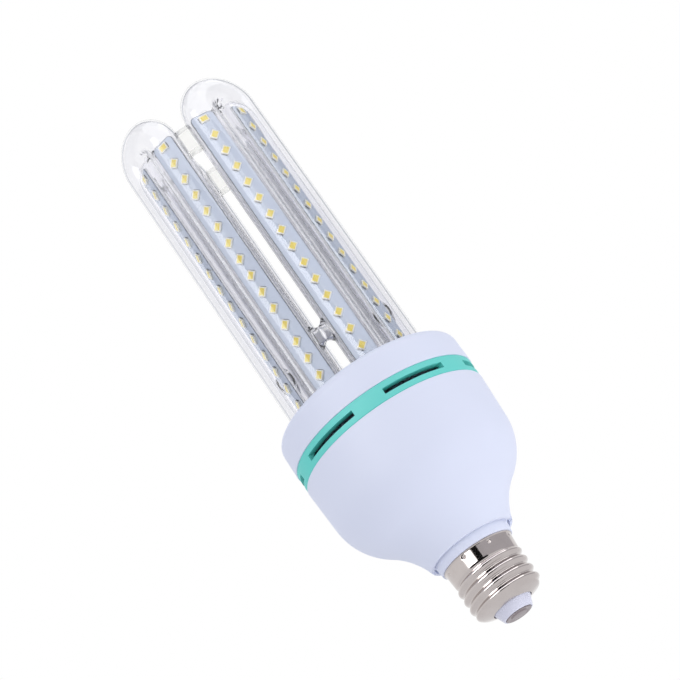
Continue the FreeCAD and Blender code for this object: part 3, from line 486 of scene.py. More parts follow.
def add_node(tree, kind, inputs, **settings):
    """One node with its settings. Each input takes a value or another node's output."""
    node = tree.nodes.new("ShaderNode" + kind)
    for name, value in settings.items():
        setattr(node, name, value)
    for name, value in inputs.items():
        if isinstance(value, bpy.types.NodeSocket):
            tree.links.new(value, node.inputs[name])
        else:
            node.inputs[name].default_value = value
    return node


def new_material(name):
    """An empty material and its node tree."""
    material = bpy.data.materials.new(name)
    material.use_nodes = True
    material.node_tree.nodes.clear()
    return material, material.node_tree


def noise(tree, place, size, detail):
    """Soft random patches about as wide as the size."""
    node = add_node(tree, "TexNoise", {"Vector": place, "Scale": 1 / (size * MM), "Detail": detail})
    return node.outputs["Fac"]


def drawn_out(tree, place, scale):
    """Places scaled down on some axes, which draws a pattern out along them."""
    return add_node(tree, "Mapping", {"Vector": place, "Scale": scale}).outputs["Vector"]


def tone_between(tree, share, dark, light):
    """A tone that drifts between two close ones."""
    return add_node(tree, "Mix", {0: share, 6: colour(dark), 7: colour(light)}, data_type="RGBA").outputs[2]


def between(tree, share, low, high):
    """A value that varies between two others."""
    return add_node(tree, "MapRange", {"Value": share, "To Min": low, "To Max": high}).outputs["Result"]


def add_relief(tree, height, depth, strength):
    """Fine relief on a surface."""
    return add_node(tree, "Bump", {
        "Height": height,
        "Distance": depth * MM,
        "Strength": strength,
    }).outputs["Normal"]


def moulded_plastic(name, light, dark, roughness, grain=0.35, relief=0.012):
    """Injection moulded plastic, as it comes from a fine spark-eroded mould.

    The tone drifts slowly over a few centimetres, and the skin's fine grain breaks up the gloss.
    """
    material, tree = new_material(name)
    place = add_node(tree, "TexCoord", {}).outputs["Object"]
    drift = noise(tree, place, size=35, detail=2)
    skin = noise(tree, place, size=grain, detail=3)
    surface = add_node(tree, "BsdfPrincipled", {
        "Base Color": tone_between(tree, drift, dark, light),
        "Roughness": between(tree, skin, low=roughness - 0.05, high=roughness + 0.05),
        "IOR": 1.5,
        "Normal": add_relief(tree, skin, depth=relief, strength=0.5),
    })
    add_node(tree, "OutputMaterial", {"Surface": surface.outputs["BSDF"]})
    return material


def plated_metal(name, light, dark, roughness, metallic=1):
    """Rolled or plated metal: fine rings from the tool run round the lamp, and the tone clouds slightly.

    A metallic share under one is a silvery lacquer over the metal.
    """
    material, tree = new_material(name)
    place = add_node(tree, "TexCoord", {}).outputs["Object"]
    # rings half a millimetre apart up the cap and drawn out round it
    rings = noise(tree, drawn_out(tree, place, (0.06, 0.06, 1)), size=0.5, detail=3)
    cloud = noise(tree, place, size=4, detail=2)
    surface = add_node(tree, "BsdfPrincipled", {
        "Base Color": tone_between(tree, cloud, dark, light),
        "Metallic": metallic,
        "Roughness": between(tree, rings, low=roughness - 0.03, high=roughness + 0.05),
        "Normal": add_relief(tree, rings, depth=0.003, strength=0.3),
    })
    add_node(tree, "OutputMaterial", {"Surface": surface.outputs["BSDF"]})
    return material


def let_lamps_through(tree, surface, tint):
    """End of a clear material: lamp light crosses its surface unbent and a little tinted."""
    clear = add_node(tree, "BsdfTransparent", {"Color": tint})
    rays = add_node(tree, "LightPath", {})
    mixed = add_node(tree, "MixShader", {
        0: rays.outputs["Is Shadow Ray"],
        1: surface.outputs["BSDF"],
        2: clear.outputs["BSDF"],
    })
    add_node(tree, "OutputMaterial", {"Surface": mixed.outputs["Shader"]})


def drawn_glass(name, tint):
    """Clear soda-lime tube, drawn hot: almost no colour, and a slow waviness along it from the drawing.

    Lamp light that crosses a wall passes two faces, so each face takes the root of the tint.
    """
    material, tree = new_material(name)
    place = add_node(tree, "TexCoord", {}).outputs["Object"]
    waves = noise(tree, drawn_out(tree, place, (1, 1, 0.15)), size=6, detail=1)
    surface = add_node(tree, "BsdfPrincipled", {
        "Base Color": colour(tint),
        "Roughness": 0,
        "IOR": 1.5,
        "Transmission Weight": 1,
        "Normal": add_relief(tree, waves, depth=0.002, strength=0.2),
    })
    let_lamps_through(tree, surface, [math.sqrt(value) for value in colour(tint)])
    return material


def cast_silicone(name, tint):
    """Clear silicone, cured in the open: slightly milky, with a soft uneven skin."""
    material, tree = new_material(name)
    place = add_node(tree, "TexCoord", {}).outputs["Object"]
    waves = noise(tree, place, size=2.5, detail=2)
    surface = add_node(tree, "BsdfPrincipled", {
        "Base Color": colour(tint),
        "Roughness": 0.1,
        "IOR": 1.41,
        "Transmission Weight": 0.97,
        "Normal": add_relief(tree, waves, depth=0.1, strength=0.5),
    })
    let_lamps_through(tree, surface, colour(tint))
    return material


WHITE_PLASTIC = moulded_plastic("white_pbt_moulded", "DDE2F4", "D9DEF1", 0.6)
GREEN_PLASTIC = moulded_plastic("green_pbt_moulded", "62D4CC", "5CCFC7", 0.55)
CONE_PLASTIC = moulded_plastic("white_insulator_moulded", "D9DAEA", "D3D4E6", 0.3, relief=0.004)
SILICONE = moulded_plastic("silicone_cast", "E6E8EE", "DFE1E8", 0.5)
NICKEL = plated_metal("nickel_plated_brass", "C8C1BF", "BCB4B2", 0.09)
CONTACT_METAL = plated_metal("tinned_brass_pressed", "948A8E", "8C8286", 0.25)
GLASS = drawn_glass("soda_lime_glass_drawn", "FAFAFC")
STRIP_MASK = plated_metal("silver_solder_mask", "CFD8E8", "C7D1E2", 0.22, metallic=0.6)
STRIP_METAL = plated_metal("aluminium_core_rolled", "F8F9FB", "F2F3F6", 0.35, metallic=0.15)
# Dielectric layer of the strips: real, and its dark grey-blue tone is also painted shade along the strip
# edges
DIELECTRIC_AND_EDGE_SHADE = moulded_plastic("dielectric_resin_and_painted_edge_shade", "5E6672", "58606C", 0.4)
BOND = cast_silicone("clear_silicone_cast", "F7F7F5")
# Solder darker than bright tin: the fillets are real, and their dark tone is also painted shade at the ends
# of each package
SOLDER_AND_PAINTED_SHADE = plated_metal("tin_solder_and_painted_shade", "70747C", "62666E", 0.35)
LIGHT_FRAME = moulded_plastic("light_frame_moulded", "FDFAEE", "F7F3E4", 0.35)
PHOSPHOR = moulded_plastic("phosphor_silicone_cast", "FFEA6C", "FBE15E", 0.3)
BOARD_GREEN = moulded_plastic("glass_fibre_board", "1E5A30", "1A4F2A", 0.4)
SLEEVE = moulded_plastic("shrink_sleeve", "14161C", "101218", 0.3)
FERRITE = moulded_plastic("ferrite_sintered", "26262A", "1E1E22", 0.6)
TAPE = moulded_plastic("winding_tape", "E0B23C", "D8A832", 0.4)
RESIN = moulded_plastic("dipped_resin", "8E2A18", "842414", 0.25)
EPOXY = moulded_plastic("epoxy_moulded", "151515", "101010", 0.5)
CERAMIC = moulded_plastic("coated_ceramic", "6F8E7C", "66856F", 0.4)
BLACK_LEAD = moulded_plastic("black_lead_sheath", "121212", "0E0E0E", 0.4)
RED_LEAD = moulded_plastic("red_lead_sheath", "A02018", "981C14", 0.4)
TINNED_LINK = plated_metal("tinned_copper_link", "C9CCD2", "BFC2C8", 0.3)


# The cap

def smooth_step(start, end, value):
    """From 0 to 1 between start and end, with soft ends."""
    share = min(max((value - start) / (end - start), 0), 1)
    return share * share * (3 - 2 * share)


def shell_radius(height):
    """Radius of the shell without its thread: the thread's middle, then the collar, which widens a little."""
    middle = (THREAD_CREST + THREAD_ROOT) / 2
    collar = COLLAR_RADIUS - COLLAR_TAPER * (SHELL_TOP - height) / (SHELL_TOP - COLLAR_BOTTOM)
    return middle + (collar - middle) * smooth_step(COLLAR_BOTTOM - COLLAR_RISE, COLLAR_BOTTOM, height)


def thread_wave(angle, height):
    """Height of the rolled thread over its middle radius, which fades out at both ends."""
    rise = height - THREAD_START - THREAD_PITCH * (angle - math.radians(THREAD_START_ANGLE)) / (2 * math.pi)
    fade = smooth_step(*THREAD_FADE_IN, height) * (1 - smooth_step(*THREAD_FADE_OUT, height))
    phase = 2 * math.pi * rise / THREAD_PITCH
    wave = math.cos(phase) + THREAD_SHARPNESS * math.cos(2 * phase) - THREAD_SHARPNESS
    return (THREAD_CREST - THREAD_ROOT) / 2 * fade * wave


def dent(angle, height):
    """Depth of the punched dents of the collar."""
    step = 2 * math.pi / DENT_COUNT
    away = (angle - math.radians(DENT_FIRST_ANGLE) + math.pi / 2 + step / 2) % step - step / 2
    distance = math.hypot(away * COLLAR_RADIUS, height - DENT_HEIGHT)
    return DENT_DEPTH * (1 - smooth_step(DENT_FLOOR, DENT_RADIUS, distance))


def make_screw_shell():
    """Rolled shell: sloped floor, round shoulder, thread, plain collar with dents and flared lip."""
    shoulder_x = SHOULDER_RADIUS - SHOULDER_ROUND
    floor_end_x = shoulder_x + SHOULDER_ROUND * math.sin(SHELL_SLOPE)
    floor_end_z = SHELL_BOTTOM + (floor_end_x - MOUTH_RADIUS) * math.tan(SHELL_SLOPE)
    shoulder_z = floor_end_z + SHOULDER_ROUND * math.cos(SHELL_SLOPE)
    floor_middle = ((MOUTH_RADIUS + floor_end_x) / 2, (SHELL_BOTTOM + floor_end_z) / 2)
    profile = [(MOUTH_RADIUS, SHELL_BOTTOM), floor_middle]
    profile += arc(shoulder_x, shoulder_z, SHOULDER_ROUND, SHELL_SLOPE - math.pi / 2, 0, steps=12)
    height = shoulder_z + SHELL_ROW
    lip_start = SHELL_TOP - LIP_HEIGHT
    lip_x = LIP_RADIUS + LIP_BRIM
    while height < lip_start:
        profile.append((shell_radius(height), height))
        height += SHELL_ROW
    lip_round = lip_x - shell_radius(lip_start)
    profile += arc(lip_x, lip_start, lip_round, math.pi, math.pi / 2 + LIP_LEAN, steps=5)
    shell = turned("screw_shell_rolled", profile, SHELL_SIDES, closed=False)
    for vertex in shell.data.vertices:
        x, y, z = vertex.co / MM
        angle = math.atan2(y, x)
        radius = math.hypot(x, y)
        moved = radius + thread_wave(angle, z) - dent(angle, z)
        if z > floor_end_z and radius > shoulder_x:
            vertex.co.x *= moved / radius
            vertex.co.y *= moved / radius
    thicken(shell, SHELL_WALL)
    return fitted(shell, NICKEL, "nickel_plate", "screw_shell", angle=50)


def make_centre_contact():
    """Pressed contact disc with a rounded rim and a low dome, on a short stem."""
    radius = radius_of("centre_contact")
    profile = outline([
        (0, 0),
        (CONTACT_DOME, 0, CONTACT_SOFT),
        (CONTACT_GROOVE, CONTACT_GROOVE_DEPTH, CONTACT_SOFT),
        (CONTACT_RIM, CONTACT_RIM_DEPTH, CONTACT_RIM_SOFT),
        (radius, CONTACT_EDGE_DEPTH, CONTACT_EDGE_SOFT),
        (radius, CONTACT_TOP),
        (STEM_RADIUS, CONTACT_TOP),
        (STEM_RADIUS, STEM_TOP),
        (0, STEM_TOP),
    ])
    disc = turned("centre_contact_pressed", profile, CONTACT_SIDES, closed=False)
    return fitted(disc, CONTACT_METAL, "contact_metal", "centre_contact")


def make_tip_insulator():
    """Moulded cone between contact and shell, with a soft rim round the contact."""
    neck = MOUTH_RADIUS - SEAT_GAP
    floor_z = SHELL_BOTTOM + SHELL_WALL / math.cos(SHELL_SLOPE) + SEAT_GAP
    profile = outline([
        (CONE_BORE, CONTACT_TOP),
        (CONE_SEAT, CONTACT_TOP),
        (CONE_SEAT, CONE_BOTTOM, CONE_SEAT_SOFT),
        (CONE_RIM, CONE_BOTTOM, CONE_RIM_SOFT),
        (neck, SHELL_BOTTOM),
        (neck, floor_z),
        (CONE_FLANGE, floor_z + (CONE_FLANGE - neck) * math.tan(SHELL_SLOPE)),
        (CONE_FLANGE, CONE_TOP),
        (CONE_BORE, CONE_TOP),
    ])
    cone = turned("tip_insulator_moulded", profile, CONTACT_SIDES)
    return fitted(cone, CONE_PLASTIC, "white_insulator", "tip_insulator")


def make_cap_holder():
    """Moulded sleeve: its collar shows as a white band between the shell's lip and the housing."""
    plug = THREAD_ROOT - SHELL_WALL - SEAT_GAP
    seat = COLLAR_RADIUS - SHELL_WALL - SEAT_GAP
    neck = NECK_HOLE - NECK_GAP
    top = LEDGE_HEIGHT + SNAP_HEIGHT
    profile = outline([
        (HOLDER_BORE, HOLDER_BOTTOM),
        (plug, HOLDER_BOTTOM, HOLDER_SOFT),
        (plug, COLLAR_BOTTOM + SEAT_GAP),
        (seat, HOLDER_SHOULDER),
        (seat, SHELL_TOP),
        (HOLDER_BAND_LOW, SHELL_TOP, HOLDER_SOFT),
        (HOLDER_BAND_HIGH, HOLDER_BAND_TOP, HOLDER_BAND_SOFT),
        (neck, HOLDER_BAND_TOP),
        (neck, LEDGE_HEIGHT),
        (SNAP_RADIUS, LEDGE_HEIGHT),
        (SNAP_RADIUS, top),
        (HOLDER_UPPER_BORE, top),
        (HOLDER_UPPER_BORE, HOLDER_STEP),
        (HOLDER_BORE, HOLDER_STEP),
    ])
    sleeve = turned("cap_holder_moulded", profile, HOLDER_SIDES)
    return fitted(sleeve, WHITE_PLASTIC, "white_plastic", "cap_holder")


# The housing, the vent ring and the cover

def make_lower_housing():
    """Moulded shell that flares from the neck into a round dome and a drafted wall."""
    dome_x = HOUSING_RADIUS - (HOUSING_TOP - DOME_HEIGHT) * math.tan(DRAFT) - DOME_ROUND * math.cos(DRAFT)
    dome_z = DOME_HEIGHT + DOME_ROUND * math.sin(DRAFT)
    across = NECK_RADIUS - dome_x
    down = HOUSING_BOTTOM - dome_z
    reach = across * math.cos(NECK_LEAN) - down * math.sin(NECK_LEAN)
    flare_round = (across ** 2 + down ** 2 - DOME_ROUND ** 2) / (2 * (DOME_ROUND - reach))
    flare_x = NECK_RADIUS + flare_round * math.cos(NECK_LEAN)
    flare_z = HOUSING_BOTTOM - flare_round * math.sin(NECK_LEAN)
    turn = math.atan2(dome_z - flare_z, flare_x - dome_x)
    mouth = HOUSING_RADIUS - WALL / math.cos(DRAFT)
    ledge = math.asin((LEDGE_HEIGHT - flare_z) / (flare_round + WALL))
    neck = (NECK_RADIUS, HOUSING_BOTTOM, RIM_BEVEL)
    rim = (HOUSING_RADIUS, HOUSING_TOP, RIM_BEVEL)
    flare_start = math.pi - NECK_LEAN - FLARE_START
    flare_end = math.pi - turn
    profile = [(NECK_HOLE, HOUSING_BOTTOM)]
    profile += outline([(NECK_HOLE, HOUSING_BOTTOM), neck, NECK_SIDE])[1:-1]
    profile += arc(flare_x, flare_z, flare_round, flare_start, flare_end, steps=28)
    profile += arc(dome_x, dome_z, DOME_ROUND, -turn, -DRAFT, steps=28)[1:]
    profile += outline([(HOUSING_RADIUS, DOME_HEIGHT), rim, (mouth, HOUSING_TOP)])[1:]
    profile += arc(dome_x, dome_z, DOME_ROUND - WALL, -DRAFT, -turn, steps=20)
    profile += arc(flare_x, flare_z, flare_round + WALL, flare_end, math.pi - ledge, steps=20)[1:]
    profile += [(NECK_HOLE, LEDGE_HEIGHT)]
    housing = turned("lower_housing_moulded", profile, HOUSING_SIDES)
    for side in (-1, 1):
        place = (side * SNAP_RADIUS, 0, HOUSING_BOTTOM)
        notch = box("snap_notch", (NOTCH_LENGTH, NOTCH_WIDTH, NOTCH_HEIGHT), place)
        combine(housing, notch, "DIFFERENCE")
    return fitted(housing, WHITE_PLASTIC, "white_plastic", "lower_housing")


def make_vent_cutter():
    """Form of one vent slot on the -Y side: long, low and narrower towards the inside."""
    depth = RING_RADIUS + OVERCUT - VENT_DEPTH_RADIUS
    place = (0, -(VENT_DEPTH_RADIUS + depth / 2), VENT_MIDDLE)
    cutter = box("vent_cutter", (VENT_WIDTH + VENT_FLARE, depth, VENT_HEIGHT), place)
    pick(cutter, "FACE", lambda face: face.normal.y > 0.9)
    narrowed = 1 - 2 * VENT_NARROWING / VENT_WIDTH
    inner_middle = metres(0, -VENT_DEPTH_RADIUS, VENT_MIDDLE)
    bpy.ops.transform.resize(value=(narrowed, 1, 1), center_override=inner_middle)
    leave()
    return cutter


def make_vent_ring():
    """Moulded ring with a lip into each neighbour and six slots."""
    lower_lip = HOUSING_RADIUS - WALL - LOWER_LIP_GAP
    upper_lip = COVER_RADIUS - COVER_WALL - UPPER_LIP_GAP
    profile = outline([
        (lower_lip - RING_LIP, HOUSING_TOP - RING_LIP_REACH),
        (lower_lip, HOUSING_TOP - RING_LIP_REACH),
        (lower_lip, HOUSING_TOP),
        (RING_RADIUS, HOUSING_TOP, RIM_BEVEL),
        (RING_RADIUS, RING_TOP, RIM_BEVEL),
        (upper_lip, RING_TOP),
        (upper_lip, RING_TOP + RING_LIP_REACH),
        (upper_lip - RING_LIP, RING_TOP + RING_LIP_REACH),
        (upper_lip - RING_LIP, RING_TOP - RING_LIP_ROOT),
        (RING_BORE, RING_TOP - RING_BORE_TOP),
        (RING_BORE, HOUSING_TOP + RING_LIP_ROOT),
        (lower_lip - RING_LIP, HOUSING_TOP),
    ])
    ring = turned("vent_ring_moulded", profile, HOUSING_SIDES)
    cutter = make_vent_cutter()
    for index in range(VENT_COUNT):
        slot = copied(cutter, "vent_slot")
        turn_round(slot, (index + 0.5) * 360 / VENT_COUNT)
        combine(ring, slot, "DIFFERENCE")
    bpy.data.objects.remove(cutter)
    return fitted(ring, GREEN_PLASTIC, "green_plastic", "vent_ring")


def make_top_cover():
    """Moulded cap with a rounded shoulder, a flat deck and eight sockets for the tube legs."""
    inside = COVER_RADIUS - COVER_WALL
    ceiling = COVER_TOP - COVER_DECK
    profile = outline([
        (inside, RING_TOP),
        (COVER_RADIUS, RING_TOP, RIM_BEVEL),
        (COVER_RADIUS - COVER_DRAFT, COVER_TOP, COVER_ROUND),
        (0, COVER_TOP),
        (0, ceiling),
        (inside, ceiling, COVER_INNER_ROUND),
    ], steps=8)
    cover = turned("top_cover_moulded", profile, HOUSING_SIDES)
    bore = TUBE_RADIUS + SOCKET_GAP
    sleeve = bore + SOCKET_WALL
    floor = TUBE_BOTTOM - SOCKET_FLOOR
    sleeve_profile = [(0, floor), (sleeve, floor), (sleeve, ceiling + OVERCUT), (0, ceiling + OVERCUT)]
    bore_profile = [
        (0, floor - OVERCUT),
        (SOCKET_HOLE, floor - OVERCUT),
        (SOCKET_HOLE, TUBE_BOTTOM),
        (bore, TUBE_BOTTOM),
        (bore, COVER_TOP - SOCKET_CHAMFER),
        (bore + SOCKET_CHAMFER + SOCKET_OVERCUT, COVER_TOP + SOCKET_OVERCUT),
        (0, COVER_TOP + SOCKET_OVERCUT),
    ]
    for name, form, operation in (
        ("socket_sleeve", sleeve_profile, "UNION"),
        ("socket_bore", bore_profile, "DIFFERENCE"),
    ):
        for index in range(LEG_COUNT):
            combine(cover, turned_about_leg(name, index, form), operation)
    return fitted(cover, WHITE_PLASTIC, "white_plastic", "top_cover")


def turned_about_leg(name, index, profile):
    """A form turned about the axis of one tube leg."""
    angle = math.radians((index + 0.5) * LEG_STEP)
    foot = Vector((math.cos(angle), math.sin(angle), 0)) * LEG_CIRCLE * MM
    points = [metres(x, 0, z) + foot for x, z in profile]
    return spun(name, points, SOCKET_SIDES, foot, (0, 0, 1))


# The clear tubes

def bent_form(name, radius, bottom):
    """One U as a closed form on the +X side: a leg, half a ring and the other leg."""
    deselect()
    start = metres(TUBE_PLANE, -BEND_RADIUS, bottom)
    bpy.ops.mesh.primitive_circle_add(vertices=TUBE_SIDES, radius=radius * MM, location=start)
    piece = named(name)
    edit(piece)
    # short rows where the bridge joins, and one long row on either side of them
    rises = [BRIDGE_HEIGHT - BRIDGE_ZONE - bottom]
    rises += [2 * BRIDGE_ZONE / BRIDGE_ZONE_ROWS] * BRIDGE_ZONE_ROWS
    rises += [BEND_HEIGHT - BRIDGE_HEIGHT - BRIDGE_ZONE]
    for rise in rises:
        extrude(metres(0, 0, rise))
    bend_middle = metres(TUBE_PLANE, 0, BEND_HEIGHT)
    bpy.ops.mesh.spin(steps=BEND_STEPS, angle=math.pi, center=bend_middle, axis=(1, 0, 0))
    for rise in reversed(rises):
        extrude(metres(0, 0, -rise))
    bpy.ops.mesh.select_all(action="SELECT")
    bpy.ops.mesh.remove_doubles(threshold=MERGE_DISTANCE)
    bpy.ops.mesh.fill_holes(sides=0)
    bpy.ops.mesh.select_all(action="SELECT")
    bpy.ops.mesh.normals_make_consistent(inside=False)
    leave()
    set_down(piece)
    return piece


def bridge_form(name, radius, across, along, end):
    """Short bridge between two neighbouring legs on the +X side, which spreads into both like a fused joint.

    It grows by across and along the legs where it meets their walls, and runs on inside them.
    """
    half = [(end * index / BRIDGE_ROWS, radius) for index in range(BRIDGE_ROWS + 1)]
    profile = [(-end, 0)] + [(-reach, size) for reach, size in reversed(half)] + half[1:] + [(end, 0)]
    points = [metres(TUBE_PLANE, reach, BRIDGE_HEIGHT + size) for reach, size in profile]
    bridge = spun(name, points, SOCKET_SIDES, metres(TUBE_PLANE, 0, BRIDGE_HEIGHT), (0, 1, 0))
    wall = BEND_RADIUS - TUBE_RADIUS
    for vertex in bridge.data.vertices:
        x, y, z = vertex.co / MM
        spread = (y / wall) ** 2 / radius
        vertex.co.x = (TUBE_PLANE + (x - TUBE_PLANE) * (1 + across * spread)) * MM
        vertex.co.z = (BRIDGE_HEIGHT + (z - BRIDGE_HEIGHT) * (1 + along * spread)) * MM
    return bridge


def wrinkle(form, depth, phase):
    """Small waves in the crotch of a bend, where the glass bunches up as it is bent round."""
    middle = metres(TUBE_PLANE, 0, BEND_HEIGHT + BEND_RADIUS - TUBE_RADIUS)
    for vertex in form.data.vertices:
        away = (vertex.co - middle) / MM
        if away.length < WRINKLE_REACH:
            fade = math.exp(-(away.length / WRINKLE_FADE) ** 2)
            wave = math.cos(2 * math.pi * away.x / WRINKLE_ACROSS + phase)
            wave += WRINKLE_SHARE * math.cos(2 * math.pi * away.y / WRINKLE_ALONG + phase)
            vertex.co.z += depth * fade * wave * MM


def tube_forms(name, radius, bottom, ripple, phase, bridge):
    """Four U forms and the bridges that join them, as one closed form."""
    first = bent_form(name, radius, bottom)
    wrinkle(first, ripple, phase)
    turn_round(first, LEG_STEP)
    whole = copied(first, name + "_chain")
    for index in range(1, LEG_COUNT // 2):
        other = copied(first, name + "_next")
        turn_round(other, index * 2 * LEG_STEP)
        combine(whole, other, "UNION")
    bpy.data.objects.remove(first)
    for angle in BRIDGE_ANGLES:
        other = copied(bridge, name + "_joint")
        turn_round(other, angle)
        combine(whole, other, "UNION")
    bpy.data.objects.remove(bridge)
    return whole


def make_glass_tubes():
    """Clear U tubes with real walls, fused into one chain by hollow bridges."""
    bore = TUBE_RADIUS - TUBE_WALL
    bridge_bore = BRIDGE_RADIUS - BRIDGE_WALL
    open_end = TUBE_BOTTOM - 2 * OVERCUT
    outer_bridge = bridge_form("bridge_outside", BRIDGE_RADIUS, across=0.25, along=1.8, end=3.4)
    inner_bridge = bridge_form("bridge_inside", bridge_bore, across=0.12, along=0.6, end=4.6)
    glass = tube_forms("tube_outside", TUBE_RADIUS, TUBE_BOTTOM, ripple=0.7, phase=0, bridge=outer_bridge)
    hollow = tube_forms("tube_inside", bore, open_end, ripple=0.5, phase=0.6, bridge=inner_bridge)
    combine(glass, hollow, "DIFFERENCE")
    glass.name = "glass_tubes_fused"
    glass.data.name = "glass_tubes_fused"
    return fitted(glass, GLASS, "clear_glass", "glass_tubes", angle=40)


def make_tube_bonds():
    """Dabs of clear silicone between the tubes: they follow the walls and sag in at their open faces."""
    half = BOND_DEPTH / 2

    def reach_at(x):
        """How far a dab reaches to either side at a depth x from the plane of the tubes."""
        return BEND_RADIUS - math.sqrt((TUBE_RADIUS + BOND_GAP) ** 2 - x ** 2)

    shape = []
    for index in range(BOND_STEPS + 1):
        x = half * (2 * index / BOND_STEPS - 1)
        shape.append((x, reach_at(x)))
    corners = shape + [(x, -y) for x, y in reversed(shape)]
    points = [metres(TUBE_PLANE + x, y, BOND_TOP - BOND_LENGTH) for x, y in corners]
    dab = drawn("tube_bond", points, closed=True)
    bpy.ops.mesh.select_all(action="SELECT")
    bpy.ops.mesh.edge_face_add()
    for row in range(BOND_STEPS):
        extrude(metres(0, 0, BOND_LENGTH / BOND_STEPS))
    bpy.ops.mesh.select_all(action="SELECT")
    bpy.ops.mesh.normals_make_consistent(inside=False)
    leave()
    set_down(dab)
    for vertex in dab.data.vertices:
        x, y, z = vertex.co / MM
        level = 2 * (z - BOND_TOP) / BOND_LENGTH + 1
        side = (x - TUBE_PLANE) / half
        bulge = 1 - (y / reach_at(x - TUBE_PLANE)) ** 2
        vertex.co.z -= BOND_SAG * level * abs(level) * bulge * (1 - side * side) * MM
    dabs = []
    for index in range(LEG_COUNT // 2):
        other = copied(dab, "tube_bond_next")
        turn_round(other, index * 2 * LEG_STEP)
        dabs.append(other)
    bpy.data.objects.remove(dab)
    return fitted(joined(dabs, "tube_bonds_cast"), BOND, "clear_silicone", "tube_bonds", angle=50)


# The light strips

def make_board(name, border, inner_face, thickness):
    """One board on the -Y side, its upper corners rounded, with a border left free round it."""
    width = STRIP_WIDTH - 2 * border
    bottom = STRIP_BOTTOM + border
    top = STRIP_TOP - border
    middle = (bottom + top) / 2
    board = box(name, (width, thickness, top - bottom), (0, -inner_face - thickness / 2, middle))

    def upper_corner(edge):
        """An edge of the upper end that runs through the board's thickness."""
        ends = [board.data.vertices[index].co / MM for index in edge.vertices]
        return all(end.z > middle for end in ends) and abs(ends[0].y - ends[1].y) > thickness / 2

    pick(board, "EDGE", upper_corner)
    bpy.ops.mesh.bevel(offset=(STRIP_CORNER - border) * MM, segments=6)
    leave()
    return board


def make_package(turn, height):
    """One light package facing -Y: a moulded frame with a sunk well, turned in the plane of the strip."""
    package = box("light_package", (LIGHT_LENGTH, LIGHT_HEIGHT, LIGHT_WIDTH))
    pick(package, "FACE", lambda face: face.normal.y < -0.9)
    bpy.ops.mesh.inset(thickness=LIGHT_RIM * MM)
    extrude(metres(0, WELL_DEPTH, 0))
    bpy.ops.transform.resize(value=WELL_NARROWING, center_override=(0, 0, 0))
    leave()
    soften(package, LIGHT_EDGE)
    return set_on_strip(package, turn, height, LIGHT_HEIGHT / 2)


def make_fill(turn, height):
    """Phosphor fill of one package: a low pillow in the well."""
    size = (LIGHT_LENGTH - 2 * LIGHT_RIM, FILL_DEPTH, LIGHT_WIDTH - 2 * LIGHT_RIM)
    fill = box("phosphor_fill", size)
    pick(fill, "FACE", lambda face: face.normal.y < -0.9)
    bpy.ops.mesh.inset(thickness=FILL_SLOPE * MM)
    bpy.ops.transform.translate(value=metres(0, -FILL_CROWN, 0))
    leave()
    return set_on_strip(fill, turn, height, LIGHT_HEIGHT - FILL_BELOW_RIM - FILL_DEPTH / 2)


def make_terminal(turn, height):
    """Two solder fillets, one at each short end of a package, whose dark tone is also painted shade there."""
    ends = []
    for side in (-1, 1):
        size = (FILLET_LENGTH, FILLET_HEIGHT, FILLET_WIDTH)
        ends.append(box("solder_fillet", size, (side * LIGHT_LENGTH / 2, 0, 0)))
    return set_on_strip(joined(ends, "solder_fillets"), turn, height, FILLET_HEIGHT / 2)


def set_on_strip(piece, turn, height, lift):
    """Turn a piece in the plane of the strip and set it on the strip's face at a height."""
    piece.rotation_euler = (0, math.radians(-turn), 0)
    piece.location = metres(0, -STRIP_FACE - lift, height)
    set_down(piece)
    return piece


def make_row(name, make_one):
    """Fifteen copies up one strip: the top one square to it, the others turned by 45 degrees."""
    turned_one = make_one(LIGHT_TURN, TOP_LIGHT_HEIGHT - LIGHT_PITCH)
    pieces = [make_one(0, TOP_LIGHT_HEIGHT), turned_one]
    for index in range(2, LIGHT_COUNT):
        other = copied(turned_one, name)
        other.location = metres(0, 0, -LIGHT_PITCH * (index - 1))
        set_down(other)
        pieces.append(other)
    return joined(pieces, name)


def make_strips():
    """Eight strips with their lights, each modelled once on the -Y side and turned to its leg."""
    core = make_board("core_model", 0, STRIP_FACE - STRIP_THICKNESS, STRIP_THICKNESS - 2 * LAYER)
    # dark dielectric layer: its edge band is partly painted shade along each strip
    dielectric_and_edge_shade = make_board("dielectric_edge_shade_model", DIELECTRIC_BORDER, STRIP_FACE - 2 * LAYER, LAYER)
    mask = make_board("mask_model", MASK_BORDER, STRIP_FACE - LAYER, LAYER)
    frames = make_row("frame_model", make_package)
    fills = make_row("fill_model", make_fill)
    terminals = make_row("terminal_model", make_terminal)
    models = (
        (core, "strip_core", STRIP_METAL, "strip_aluminium", "led_strip"),
        (dielectric_and_edge_shade, "strip_dielectric_edge_shade", DIELECTRIC_AND_EDGE_SHADE, "strip_aluminium", "led_strip"),
        (mask, "strip_mask", STRIP_MASK, "strip_aluminium", "led_strip"),
        (frames, "light_frames", LIGHT_FRAME, "led_package", "led_bodies"),
        # solder fillets: real, and dark as painted shade at the package ends
        (terminals, "light_terminals", SOLDER_AND_PAINTED_SHADE, "led_package", "led_bodies"),
        (fills, "light_fills", PHOSPHOR, "led_phosphor", "led_phosphors"),
    )
    for index in range(1, LEG_COUNT + 1):
        for model, name, material, slot, node in models:
            piece = copied(model, "%s_%d" % (name, index))
            turn_round(piece, (index - 0.5) * LEG_STEP)
            fitted(piece, material, slot, "%s_%d" % (node, index))
    for model in models:
        bpy.data.objects.remove(model[0])


# Finishes of the CAD nodes that stay

